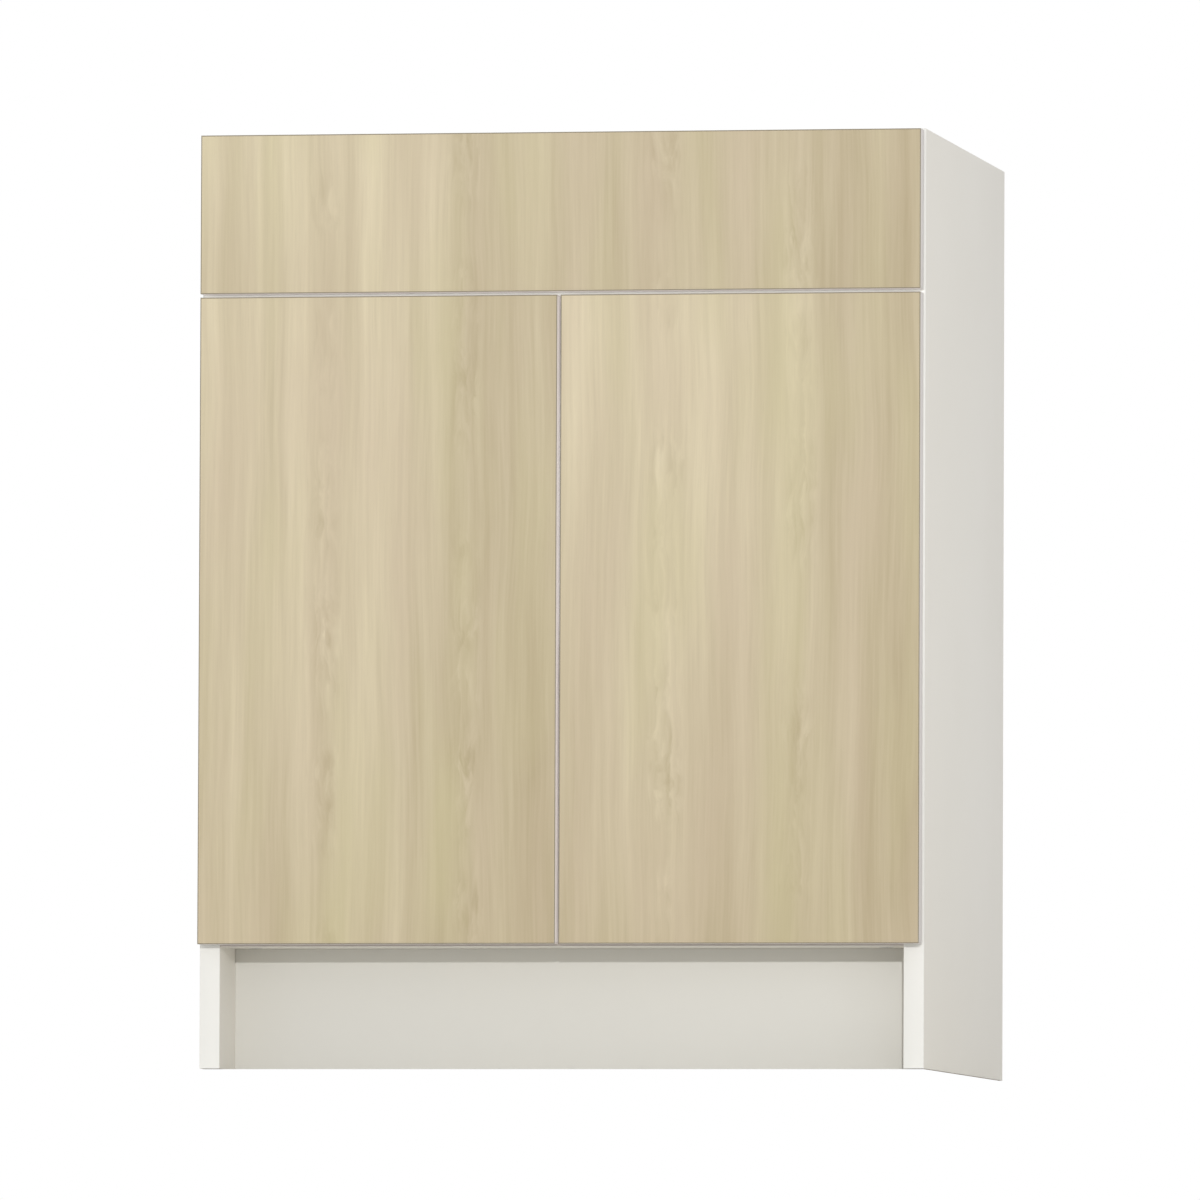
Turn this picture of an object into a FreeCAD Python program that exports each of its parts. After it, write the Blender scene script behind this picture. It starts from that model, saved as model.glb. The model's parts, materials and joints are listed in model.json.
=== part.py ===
import FreeCAD, Part
import itertools
import math
import os
import re
import Sketcher
from FreeCAD import Placement, Rotation, Vector

# Sizes in millimetres. X runs to the right, the fronts face -Y, and Z is up from the floor.
# A part of the carcass is placed by the sizes below; what touches or fits it follows the same sizes.
SIZES = (
    # Carcass
    ("case_width", 685.8),
    ("case_height", 876.3),
    ("case_depth", 533.4),
    ("board", 19.05),
    ("edge_band", 1.0),
    ("kick_height", 114.3),
    ("kick_recess", 76.2),
    ("kick_block", 38.1),
    ("stretcher_depth", 101.6),
    ("divider_depth", 101.6),
    ("back_board", 6.35),
    ("back_inset", 19.05),
    ("groove_depth", 9.5),
    ("hanging_height", 101.6),
    ("lower_rail_height", 76.2),
    ("service_width", 304.8),
    ("service_height", 254.0),
    ("service_low", 431.8),
    ("shelf_depth", 279.4),
    ("shelf_setback", 25.4),
    ("shelf_play", 1.0),
    # Holes and fasteners
    ("hole_pitch", 32.0),
    ("hole_setback", 37.0),
    ("first_hole", 272.0),
    ("row_share", 0.42),
    ("slide_screw_share", 0.6),
    ("system_hole", 2.5),
    ("system_hole_depth", 12.0),
    ("pin_head", 4.0),
    ("pin_head_length", 8.0),
    ("pin_play", 0.05),
    ("cam_radius", 7.5),
    ("cam_height", 12.7),
    ("cam_reach", 24.0),
    ("cam_setback", 50.8),
    ("cam_slot", 1.6),
    ("bolt_bore", 4.0),
    ("bolt_shank", 3.0),
    ("bolt_head", 3.6),
    ("bolt_head_length", 4.0),
    ("dowel_radius", 4.0),
    ("dowel_depth", 10.0),
    ("dowel_reach", 20.0),
    ("dowel_spread", 25.4),
    ("worktop_hole", 2.5),
    ("worktop_spacing", 508.0),
    ("wall_hole", 2.75),
    ("wall_spacing", 406.4),
    ("overrun", 2.0),
    # Fronts
    ("front_board", 19.05),
    ("front_gap", 2.5),
    ("reveal", 1.5875),
    ("front_spacing", 3.175),
    ("drawer_front_height", 149.225),
    ("bumper_radius", 4.0),
    ("bumper_play", 0.3),
    ("bumper_spread", 63.5),
    ("top_bumper_spread", 224.0),
    # Drawer
    ("box_board", 12.7),
    ("box_height", 95.25),
    ("box_clearance", 38.1),
    ("box_lift", 19.05),
    ("notch_width", 254.0),
    ("notch_depth", 254.0),
    ("bottom_board", 6.35),
    ("bottom_rise", 9.525),
    ("bottom_groove", 6.35),
    ("front_screw_spread", 180.0),
    ("front_screw_rise", 28.0),
    ("screw_radius", 2.0),
    ("screw_head", 4.5),
    ("screw_head_height", 2.0),
    ("screw_bite", 12.0),
    # Ball-bearing slides
    ("slide_thickness", 12.7),
    ("slide_height", 45.0),
    ("slide_steel", 1.2),
    ("slide_setback", 3.0),
    ("slide_tail", 12.0),
    ("ball_radius", 1.75),
    ("ball_play", 0.1),
    ("cage_steel", 0.6),
    ("cage_length", 150.0),
    ("cage_setback", 115.0),
    ("ball_pitch", 62.0),
    ("cage_gap", 0.3),
    ("outer_reach", 9.4),
    ("middle_reach", 10.6),
    ("outer_cage_reach", 8.8),
    ("outer_ball_place", 6.2),
    ("inner_ball_place", 8.2),
    # Push-to-open latches
    ("latch_spread", 31.75),
    ("latch_width", 16.0),
    ("latch_height", 13.0),
    ("latch_length", 58.0),
    ("latch_setback", 1.5),
    ("latch_flange", 10.0),
    ("latch_flange_height", 3.0),
    ("plunger_radius", 3.0),
    ("plunger_tip", 4.0),
    ("plunger_play", 0.08),
    ("plunger_length", 50.0),
    # Concealed hinges, measured inboard from the case side (U) and back from the case front (Y)
    ("hinge_inset", 110.0),
    ("cup_edge", 5.0),
    ("cup_bore", 17.5),
    ("cup_bore_depth", 13.6),
    ("cup_play", 0.1),
    ("cup_wall", 1.0),
    ("cup_depth", 13.5),
    ("cup_rim", 19.0),
    ("cup_flange", 0.8),
    ("plug_spread", 22.5),
    ("plug_offset", 9.5),
    ("plug_radius", 4.0),
    ("plug_depth", 10.5),
    ("wing_half", 28.0),
    ("wing_width", 17.0),
    ("plate_base", 2.0),
    ("plate_wing", 24.0),
    ("plate_width", 14.0),
    ("plate_length", 52.0),
    ("plate_front", 12.0),
    ("arm_steel", 1.2),
    ("arm_width", 16.4),
    ("arm_low", 22.0),
    ("arm_high", 33.0),
    ("arm_back", 74.0),
    ("arm_screw_front", 28.0),
    ("arm_screw_back", 54.0),
    ("arm_screw_depth", 9.0),
    ("arm_eye", 2.8),
    ("hinge_pin", 1.2),
    ("pin_clearance", 0.06),
    ("link_steel", 2.0),
    ("link_eye", 2.4),
    ("outer_link_half", 3.0),
    ("inner_link_low", 3.6),
    ("inner_link_high", 5.6),
    ("stub_end", 3.3),
    ("open_eye", 2.85),
    ("outer_pivot_u", 26.8),
    ("outer_pivot_y", 8.4),
    ("outer_heel_u", 22.9),
    ("outer_heel_y", -11.1),
    ("outer_knee_u", 18.8),
    ("outer_knee_y", -13.5),
    ("outer_cup_u", 11.3),
    ("outer_cup_y", -8.9),
    ("inner_pivot_u", 34.93),
    ("inner_pivot_y", -4.6),
    ("inner_heel_u", 32.69),
    ("inner_heel_y", -7.88),
    ("inner_knee_u", 30.0),
    ("inner_knee_y", -11.84),
    ("inner_cup_u", 15.55),
    ("inner_cup_y", -10.04),
)

DOC = FreeCAD.newDocument("vanity_cabinet")
SHEET = DOC.addObject("Spreadsheet::Sheet", "sizes")
NODES = []

# How many shelf holes a row has, and how many steps up its own row the shelf sits.
ROW_HOLES = 7
SHELF_STEPS = 3

# How many flat sides stand for a round one: small hardware, pins with their eyes, cams and cups.
SCREW_SIDES = 8
PIN_SIDES = 8
CAM_SIDES = 12
CUP_SIDES = 16
ROUND = 0

# Places that many pieces share, as sums of the sizes.
INNER = "(case_width / 2 - board)"
FRONT_FACE = "(-case_depth / 2)"
FRONT_BACK = "(front_board - case_depth / 2)"
CASE_FRONT = "(front_board + front_gap - case_depth / 2)"
BOARD_FRONT = f"({CASE_FRONT} + edge_band)"
CASE_BACK = "(case_depth / 2)"
BACK_PANEL_BACK = "(case_depth / 2 - back_inset)"
BACK_PANEL_FRONT = "(case_depth / 2 - back_inset - back_board)"
TOP_LOW = "(case_height - board)"
DRAWER_FRONT_LOW = "(case_height - reveal - drawer_front_height)"
DRAWER_FRONT_HIGH = "(case_height - reveal)"
DOOR_LOW = "(kick_height + reveal)"
DOOR_HIGH = f"({DRAWER_FRONT_LOW} - front_spacing)"
DIVIDER_LOW = f"({DRAWER_FRONT_LOW} - front_spacing / 2 - board / 2)"
DIVIDER_HIGH = f"({DIVIDER_LOW} + board)"
FRONT_ROW = f"({CASE_FRONT} + hole_setback)"
REAR_ROW = f"({FRONT_ROW} + case_depth * row_share)"
SHELF_LOW = f"(first_hole + hole_pitch * {SHELF_STEPS} + pin_head)"
HINGE_HEIGHTS = (f"({DOOR_LOW} + hinge_inset)", f"({DOOR_HIGH} - hinge_inset)")
BOX_HALF = f"({INNER} - slide_thickness)"
BOX_LOW = f"({DIVIDER_HIGH} + box_lift)"
BOX_HIGH = f"({BOX_LOW} + box_height)"
BOX_BACK = f"({BACK_PANEL_FRONT} - box_clearance)"
SLIDE_FRONT = f"({CASE_FRONT} + slide_setback)"
SLIDE_BACK = f"({BOX_BACK} - slide_tail)"
SLIDE_MIDDLE = f"({BOX_LOW} + box_height / 2)"
CUP_CENTRE = "(reveal + cup_edge + cup_bore)"
CAGE_BASE = "(slide_steel + screw_head_height / 2 + cage_gap)"
MIDDLE_BASE = f"({CAGE_BASE} + cage_steel + cage_gap)"
INNER_CAGE_BASE = f"({MIDDLE_BASE} + slide_steel + cage_gap)"
INNER_TIP = f"({INNER_CAGE_BASE} + cage_steel + cage_gap)"
OUTER_ROW = "(slide_height / 2 - slide_steel - ball_radius - ball_play)"
MIDDLE_HALF = f"({OUTER_ROW} - ball_radius - ball_play)"
INNER_ROW = f"({MIDDLE_HALF} - slide_steel - ball_radius - ball_play)"
INNER_HALF = f"({INNER_ROW} - ball_radius - ball_play)"
CUP_INNER = "(cup_bore - cup_play - cup_wall)"
LATCH_SCREW_X = "(latch_width / 2 + latch_flange / 2)"
LATCH_SCREW_Y = f"({CASE_FRONT} + latch_setback + latch_length / 2)"
UPRIGHT = Rotation()
UPSIDE_DOWN = Rotation(Vector(0, 1, 0), 180)
BARS = {"x": Rotation(Vector(0, 1, 0), 90), "y": Rotation(Vector(1, 0, 0), -90), "z": UPRIGHT}
INWARD = {-1: BARS["x"], 1: Rotation(Vector(0, 1, 0), -90)}


def fill_sheet():
    """Write every size into the sheet, with its name as the cell's alias."""
    for row, (name, number) in enumerate(SIZES, 1):
        SHEET.set(f"A{row}", name)
        SHEET.set(f"B{row}", str(number))
        SHEET.setAlias(f"B{row}", name)
    DOC.recompute()


def bound(text):
    """Write a sum of size names as one that another object can follow."""
    return re.sub(r"(?!(?:sqrt|cos|sin)\b)\b[a-z]\w*", r"sizes.\g<0>", text)


def value(text):
    """Work out a sum of size names."""
    return float(SHEET.evalExpression(text))


def signed(side, distance):
    """Place a distance from the middle on the left (-1) or the right (1)."""
    return distance if side > 0 else f"(-({distance}))"


def span(side, near, far):
    """Return the low and high X of a stretch between two distances from the middle, on one side."""
    return (near, far) if side > 0 else (f"(-({far}))", f"(-({near}))")


def both_sides(distance):
    """Return the low and high X of a stretch that is centred on the middle."""
    return span(-1, distance, distance)[0], distance


# Solids

def box(name, x, y, z):
    """Make a box between a low and a high place along each axis."""
    solid = DOC.addObject("Part::Box", name)
    for length, axis, (low, high) in zip(("Length", "Width", "Height"), "xyz", (x, y, z)):
        solid.setExpression(length, bound(f"({high}) - ({low})"))
        solid.setExpression(f"Placement.Base.{axis}", bound(low))
    return solid


def rod(name, axis, radius, ends, sides=SCREW_SIDES, **centre):
    """Make a bar along an axis, from its low end to its high end, with flat sides or a round one."""
    if sides == ROUND:
        solid = DOC.addObject("Part::Cylinder", name)
        solid.setExpression("Radius", bound(radius))
    else:
        solid = DOC.addObject("Part::Prism", name)
        solid.Polygon = sides
        solid.setExpression("Circumradius", bound(radius))
    solid.Placement = Placement(Vector(), BARS[axis])
    solid.setExpression("Height", bound(f"({ends[1]}) - ({ends[0]})"))
    centre[axis] = ends[0]
    for letter, place in centre.items():
        solid.setExpression(f"Placement.Base.{letter}", bound(place))
    return solid


def stack(name, steps, sides=SCREW_SIDES):
    """Make a stepped bar along Z; each step has a radius, a low and a high end."""
    return fuse(name, [rod(f"{name}_step", "z", radius, ends, sides, x="0", y="0")
                       for radius, *ends in steps])


def screw(name, length):
    """Make a pan-head screw that stands on its tip."""
    top = f"({length} + screw_head_height / 2)"
    return stack(name, (("screw_radius", "0", length), ("screw_head", length, top)))


def gather(name, parts):
    """Group solids that stay separate."""
    group = DOC.addObject("Part::Compound", name)
    group.Links = list(parts)
    return group


def fuse(name, parts):
    """Join solids into one."""
    result = DOC.addObject("Part::MultiFuse", name)
    result.Shapes = list(parts)
    return result


def cut(name, base, tools):
    """Take one or more tools away from a solid."""
    result = DOC.addObject("Part::Cut", name)
    result.Base = base
    result.Tool = tools[0] if len(tools) == 1 else fuse(f"{name}_tools", tools)
    return result


def mirror(name, source):
    """Make the right-hand twin of a left-hand piece."""
    twin = DOC.addObject("Part::Mirroring", name)
    twin.Source = source
    twin.Base = Vector()
    twin.Normal = Vector(1, 0, 0)
    return twin


def copies(name, master, places):
    """Group copies of one piece, each at a place of X, Y, Z and a turn."""
    links = []
    for number, (x, y, z, turn) in enumerate(places, 1):
        link = DOC.addObject("App::Link", f"{name}_{number}")
        link.LinkedObject = master
        link.Placement = Placement(Vector(), turn)
        for axis, place in zip("xyz", (x, y, z)):
            link.setExpression(f"Placement.Base.{axis}", bound(place))
        links.append(link)
    return gather(name, links)


def node(piece, name):
    """Name a finished sub-part and keep it for writing."""
    piece.Label = name
    NODES.append(piece)
    return piece


# Sketches and the features made from them

def new_body(name):
    """Start a body."""
    return DOC.addObject("PartDesign::Body", name)


def sketch(body, name, role, offset="0"):
    """Lay an empty sketch on one of a body's own planes, or at a distance from it."""
    outline = body.newObject("Sketcher::SketchObject", f"{body.Name}_{name}")
    plane = next(item for item in body.Origin.OriginFeatures if item.Role == role)
    outline.AttachmentSupport = (plane, [""])
    outline.MapMode = "FlatFace"
    outline.setExpression("AttachmentOffset.Base.z", bound(offset))
    return outline


def hold(outline, shape, point, x, y):
    """Fix one point of a sketch by its two distances from the sketch's origin."""
    for kind, place in (("DistanceX", x), ("DistanceY", y)):
        index = outline.addConstraint(Sketcher.Constraint(kind, -1, 1, shape, point, value(place)))
        outline.setExpression(f"Constraints[{index}]", bound(place))


def polygon(outline, points):
    """Draw a closed outline through points."""
    first = outline.GeometryCount
    spots = [Vector(value(x), value(y), 0) for x, y in points]
    for start, end in zip(spots, spots[1:] + spots[:1]):
        outline.addGeometry(Part.LineSegment(start, end), False)
    for index, (x, y) in enumerate(points):
        before = first + (index - 1) % len(points)
        outline.addConstraint(Sketcher.Constraint("Coincident", before, 2, first + index, 1))
        hold(outline, first + index, 1, x, y)


def rectangle(outline, x, y):
    """Draw a rectangle between a low and a high place along each direction."""
    polygon(outline, ((x[0], y[0]), (x[1], y[0]), (x[1], y[1]), (x[0], y[1])))


def circle(outline, x, y, radius):
    """Draw a circle."""
    round_line = Part.Circle(Vector(value(x), value(y), 0), Vector(0, 0, 1), value(radius))
    index = outline.addGeometry(round_line, False)
    hold(outline, index, 3, x, y)
    size = outline.addConstraint(Sketcher.Constraint("Radius", index, value(radius)))
    outline.setExpression(f"Constraints[{size}]", bound(radius))


def many_sided(outline, x, y, radius, sides=SCREW_SIDES):
    """Draw a regular outline with corners at a radius."""
    turns = [360 * number / sides for number in range(sides)]
    polygon(outline, [(f"({x} + {radius} * cos({turn}))", f"({y} + {radius} * sin({turn}))")
                      for turn in turns])


def feature(kind, outline, length, reverse, middle):
    """Add a pad or a pocket of a sketch's outline to the sketch's body."""
    body = outline.getParentGeoFeatureGroup()
    step = body.newObject(f"PartDesign::{kind}", f"{outline.Name}_{kind.lower()}")
    step.Profile = outline
    step.setExpression("Length", bound(length))
    step.Reversed = reverse
    step.Midplane = middle
    return step


def pad(outline, length, reverse=False, middle=False):
    """Add the outline's thickness to its body."""
    return feature("Pad", outline, length, reverse, middle)


def pocket(outline, length, reverse=False, middle=False):
    """Cut the outline out of its body, and check that material goes."""
    body = outline.getParentGeoFeatureGroup()
    DOC.recompute()
    before = body.Shape.Volume
    step = feature("Pocket", outline, length, reverse, middle)
    DOC.recompute()
    if body.Shape.Volume >= before:
        raise ValueError(f"{step.Name} cuts nothing")
    return step


def place(piece, x, y, z):
    """Place a body in the cabinet."""
    for axis, distance in zip("xyz", (x, y, z)):
        piece.setExpression(f"Placement.Base.{axis}", bound(distance))
    return piece


def prism(name, points, ends, role="XY_Plane"):
    """Make a body by padding one outline between two heights along its plane's normal."""
    body = new_body(name)
    outline = sketch(body, "outline", role, ends[0])
    polygon(outline, points)
    pad(outline, f"({ends[1]}) - ({ends[0]})")
    return body


# Carcass joints

def cam_places():
    """List the Y of each cam and the underside of its board, for one end of the boards."""
    return (
        (f"({BOARD_FRONT} + cam_setback)", "kick_height"),
        (f"({BACK_PANEL_FRONT} - cam_setback)", "kick_height"),
        (f"({CASE_FRONT} + stretcher_depth / 2)", TOP_LOW),
        (f"({BACK_PANEL_FRONT} - stretcher_depth / 2)", TOP_LOW),
        (f"({CASE_FRONT} + divider_depth / 2)", DIVIDER_LOW),
    )


def dowel_places():
    """List the Y and Z of each dowel at one end of the two back rails."""
    rail_middle = "(case_depth / 2 - back_inset / 2)"
    rails = ("(case_height - hanging_height / 2)", "(kick_height + lower_rail_height / 2)")
    return tuple((rail_middle, f"({middle} {sign} dowel_spread)") for middle in rails for sign in "+-")


def cam_bores(name, y, low):
    """Make the upright cam bore and the level bolt bore at both ends of a board."""
    bores = []
    for side in (-1, 1):
        x = signed(side, f"{INNER} - cam_reach")
        level = f"({low} + board / 2)"
        ends = (low, f"({low} + cam_height)")
        bores.append(rod(f"{name}_cam_bore", "z", "cam_radius", ends, CAM_SIDES, x=x, y=y))
        ends = span(side, f"({INNER} - cam_reach)", INNER)
        bores.append(rod(f"{name}_bolt_bore", "x", "bolt_bore", ends, y=y, z=level))
    return bores


def dowel_bores(name, y, z):
    """Make the dowel bores at both ends of a back rail."""
    ends = [span(side, f"({INNER} - dowel_reach)", INNER) for side in (-1, 1)]
    return [rod(f"{name}_dowel_bore", "x", "dowel_radius", end, y=y, z=z) for end in ends]


def make_cams():
    """Make the cam locks: a disc with a passage for the bolt and a cross for the screwdriver."""
    disc = rod("cam_disc", "z", "cam_radius", ("0", "cam_height"), CAM_SIDES, x="0", y="0")
    passage = rod("cam_passage", "x", "bolt_bore", ("0", "cam_radius + overrun"), y="0", z="board / 2")
    cross = [box("cam_cross", *reach) for reach in (
        (both_sides("(cam_radius / 2)"), both_sides("(cam_slot / 2)"), ("0", "cam_slot")),
        (both_sides("(cam_slot / 2)"), both_sides("(cam_radius / 2)"), ("0", "cam_slot")),
    )]
    right = cut("cam_right", disc, [passage, *cross])
    left = mirror("cam_left", right)
    groups = []
    for side, master in ((-1, left), (1, right)):
        x = signed(side, f"({INNER} - cam_reach)")
        spots = [(x, y, low, UPRIGHT) for y, low in cam_places()]
        groups.append(copies(f"cams_{master.Name}", master, spots))
    node(gather("cam_locks", groups), "cam_locks")


def make_cam_bolts():
    """Make the bolts that run from the side panels into the cams."""
    head = "(cam_reach - bolt_head_length)"
    neck = f"({head} - bolt_head_length)"
    bolt = stack("cam_bolt", (("system_hole", "(-groove_depth)", "0"), ("bolt_shank", "0", neck),
                              ("bolt_head", neck, head)))
    spots = [(signed(side, INNER), y, f"({low} + board / 2)", INWARD[side])
             for side in (-1, 1) for y, low in cam_places()]
    node(copies("cam_bolts", bolt, spots), "cam_bolts")


def make_dowels():
    """Make the dowels of the two back rails."""
    dowels = []
    for side in (-1, 1):
        ends = span(side, f"({INNER} - dowel_reach)", f"({INNER} + dowel_depth)")
        dowels += [rod("dowel", "x", "dowel_radius", ends, y=y, z=z) for y, z in dowel_places()]
    node(gather("dowels", dowels), "dowels")


# Carcass

def slide_holes():
    """List the places of the screws that hold a slide to its side panel."""
    last = f"({FRONT_ROW} + case_depth * slide_screw_share)"
    return tuple((y, SLIDE_MIDDLE) for y in (FRONT_ROW, REAR_ROW, last))


def plate_holes():
    """List the places of the screws that hold the mounting plates to a side panel."""
    return tuple((FRONT_ROW, f"({height} {sign} hole_pitch / 2)")
                 for height in HINGE_HEIGHTS for sign in "+-")


def make_side_panels():
    """Make the side panels, with the groove for the back and the bores of the inner face."""
    panel = new_body("side_board")
    outline = sketch(panel, "outline", "YZ_Plane")
    rectangle(outline, (BOARD_FRONT, CASE_BACK), ("0", "case_height"))
    pad(outline, "board")
    groove = sketch(panel, "groove", "YZ_Plane", "board")
    rectangle(groove, (BACK_PANEL_FRONT, BACK_PANEL_BACK), ("(-overrun)", "(case_height + overrun)"))
    pocket(groove, "groove_depth")
    place(panel, "(-case_width / 2)", "0", "0")
    bolts = [(y, f"({low} + board / 2)") for y, low in cam_places()]
    rows = [(y, f"(first_hole + hole_pitch * {step})")
            for y in (FRONT_ROW, REAR_ROW) for step in range(ROW_HOLES)]
    bores = (
        ("bolt_bore", "system_hole", "groove_depth", bolts),
        ("dowel_bore", "dowel_radius", "dowel_depth", dowel_places()),
        ("screw_bore", "system_hole", "system_hole_depth", slide_holes() + plate_holes()),
        ("shelf_hole", "system_hole", "system_hole_depth", rows),
    )
    tools = []
    for name, radius, depth, places in bores:
        ends = span(-1, INNER, f"({INNER} + {depth})")
        tools += [rod(name, "x", radius, ends, y=y, z=z) for y, z in places]
    left = cut("side_panel_left", panel, tools)
    node(left, "side_panel_left")
    node(mirror("side_panel_right", left), "side_panel_right")


def worktop_bores(name, low, y):
    """Make the two holes through a stretcher that take the worktop's screws."""
    ends = (f"({low} - overrun)", "(case_height + overrun)")
    return [rod(f"{name}_worktop_hole", "z", "worktop_hole", ends, ROUND,
                x=signed(side, "(worktop_spacing / 2)"), y=y) for side in (-1, 1)]


def latch_screw_bores(low):
    """Make the bores in the divider rail that take the latches' screws."""
    bores = []
    for x, tip, turn in latch_screw_seats():
        ends = (low, tip) if turn is UPSIDE_DOWN else (tip, f"({low} + board)")
        bores += [rod("latch_screw_bore", "z", "screw_radius", ends, x=f"({x} {sign} {LATCH_SCREW_X})",
                      y=LATCH_SCREW_Y) for sign in "+-"]
    return bores


def make_level_boards():
    """Make the bottom, the two stretchers and the divider rail, bored for their cams."""
    boards = (
        ("bottom_panel", (BOARD_FRONT, BACK_PANEL_FRONT), "kick_height"),
        ("front_stretcher", (BOARD_FRONT, f"({CASE_FRONT} + stretcher_depth)"), TOP_LOW),
        ("rear_stretcher", (f"({BACK_PANEL_FRONT} - stretcher_depth)", BACK_PANEL_FRONT), TOP_LOW),
        ("divider_rail", (BOARD_FRONT, f"({CASE_FRONT} + divider_depth)"), DIVIDER_LOW),
    )
    worktop = {"front_stretcher": f"({CASE_FRONT} + stretcher_depth / 2)",
               "rear_stretcher": f"({BACK_PANEL_FRONT} - stretcher_depth / 2)"}
    for name, depth, low in boards:
        blank = box(f"{name}_blank", both_sides(INNER), depth, (low, f"({low} + board)"))
        tools = []
        for y, underside in cam_places():
            if underside == low and value(depth[0]) < value(y) < value(depth[1]):
                tools += cam_bores(name, y, low)
        if name in worktop:
            tools += worktop_bores(name, low, worktop[name])
        if name == "divider_rail":
            tools += latch_screw_bores(low)
        node(cut(name, blank, tools), name)


def make_back():
    """Make the back panel with its service opening, and the two rails behind it."""
    panel = new_body("back_panel")
    outline = sketch(panel, "outline", "XZ_Plane")
    rectangle(outline, both_sides(f"({INNER} + groove_depth)"), ("kick_height", "case_height"))
    rectangle(outline, both_sides("(service_width / 2)"), ("service_low", "(service_low + service_height)"))
    pad(outline, "back_board", reverse=True)
    holes = sketch(panel, "wall_holes", "XZ_Plane")
    for side in (-1, 1):
        circle(holes, signed(side, "(wall_spacing / 2)"), "(case_height - hanging_height / 2)", "wall_hole")
    pocket(holes, "back_board * 2", middle=True)
    node(place(panel, "0", BACK_PANEL_FRONT, "0"), "back_panel")
    rails = (
        ("hanging_rail", "(case_height - hanging_height)", "case_height"),
        ("lower_back_rail", "kick_height", "(kick_height + lower_rail_height)"),
    )
    for name, low, high in rails:
        blank = box(f"{name}_blank", both_sides(INNER), (BACK_PANEL_BACK, CASE_BACK), (low, high))
        tools = []
        for y, z in dowel_places():
            if value(low) < value(z) < value(high):
                tools += dowel_bores(name, y, z)
        if name == "hanging_rail":
            ends = (f"({BACK_PANEL_BACK} - overrun)", f"({CASE_BACK} + overrun)")
            tools += [rod("wall_hole", "y", "wall_hole", ends, ROUND, x=signed(side, "(wall_spacing / 2)"),
                          z="(case_height - hanging_height / 2)") for side in (-1, 1)]
        node(cut(name, blank, tools), name)


def make_kickboard():
    """Make the recessed kickboard and the glue blocks behind it."""
    front = f"({CASE_FRONT} + kick_recess)"
    back = f"({front} + board)"
    node(box("kickboard", both_sides(INNER), (front, back), ("0", "kick_height")), "kickboard")
    blocks = []
    for x in ("(-case_width / 4)", "0", "(case_width / 4)"):
        blocks.append(box("kick_block", (f"({x} - kick_block)", f"({x} + kick_block)"),
                          (back, f"({back} + board)"), ("(kick_height - kick_block * 2)", "kick_height")))
    node(gather("kick_blocks", blocks), "kick_blocks")


def make_shelf():
    """Make the adjustable shelf and the four pins that carry it."""
    front = f"({CASE_FRONT} + shelf_setback)"
    x = both_sides(f"({INNER} - shelf_play)")
    node(box("shelf", x, (f"({front} + edge_band)", f"({front} + shelf_depth)"),
             (SHELF_LOW, f"({SHELF_LOW} + board)")), "shelf")
    pin = stack("shelf_pin", (("(system_hole - pin_play)", "(-system_hole_depth)", "0"),
                              ("pin_head", "0", "pin_head_length")))
    spots = [(signed(side, INNER), y, f"({SHELF_LOW} - pin_head)", INWARD[side])
             for side in (-1, 1) for y in (FRONT_ROW, REAR_ROW)]
    node(copies("shelf_pins", pin, spots), "shelf_pins")


def make_carcass_edging():
    """Make the bands on the front edges of the carcass and the shelf."""
    y = (CASE_FRONT, BOARD_FRONT)
    shelf_front = f"({CASE_FRONT} + shelf_setback)"
    across = both_sides(INNER)
    upright = ("0", "case_height")
    bands = [box("side_band", span(side, INNER, "(case_width / 2)"), y, upright) for side in (-1, 1)]
    for low in ("kick_height", DIVIDER_LOW, TOP_LOW):
        bands.append(box("level_band", across, y, (low, f"({low} + board)")))
    bands.append(box("shelf_band", both_sides(f"({INNER} - shelf_play)"),
                     (shelf_front, f"({shelf_front} + edge_band)"), (SHELF_LOW, f"({SHELF_LOW} + board)")))
    node(gather("carcass_edging", bands), "carcass_edging")


def make_bumpers():
    """Make the soft buttons that the fronts close against."""
    y = (f"({FRONT_BACK} + bumper_play)", CASE_FRONT)
    seats = (("bumper_spread", "(kick_height + board / 2)"),
             ("bumper_spread", f"({DIVIDER_LOW} + bumper_radius)"),
             ("top_bumper_spread", f"({TOP_LOW} + board / 2)"))
    buttons = [rod("bumper", "y", "bumper_radius", y, PIN_SIDES, x=signed(side, spread), z=level)
               for side in (-1, 1) for spread, level in seats]
    node(gather("bumpers", buttons), "bumpers")


def make_system_screws():
    """Make the screws of the mounting plates and of the slides' outer members."""
    screw = stack("system_screw", (("system_hole", "(-system_hole_depth)", "slide_steel"),
                                   ("screw_head", "slide_steel", "(slide_steel + screw_head_height / 2)")))
    spots = [(signed(side, INNER), y, z, INWARD[side]) for side in (-1, 1) for y, z in slide_holes()]
    raised = f"({INNER} - plate_base + slide_steel)"
    spots += [(signed(side, raised), y, z, INWARD[side]) for side in (-1, 1) for y, z in plate_holes()]
    node(copies("system_screws", screw, spots), "system_screws")


# Drawer

def bottom_outline():
    """List the corners of the drawer's U-shaped bottom, as far as its grooves reach."""
    outer = f"({BOX_HALF} - box_board + bottom_groove)"
    inner = "(notch_width / 2 + box_board - bottom_groove)"
    front = f"({FRONT_BACK} + box_board - bottom_groove)"
    back = f"({BOX_BACK} - box_board + bottom_groove)"
    notch = f"({BOX_BACK} - notch_depth - box_board + bottom_groove)"
    return ((f"(-{outer})", front), (outer, front), (outer, back), (inner, back), (inner, notch),
            (f"(-{inner})", notch), (f"(-{inner})", back), (f"(-{outer})", back))


def front_screw_places():
    """List the X and Z of the screws that hold the drawer's front to its box."""
    return tuple((signed(side, "front_screw_spread"), z) for side in (-1, 1)
                 for z in (f"({BOX_LOW} + front_screw_rise)", f"({BOX_HIGH} - front_screw_rise)"))


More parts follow.
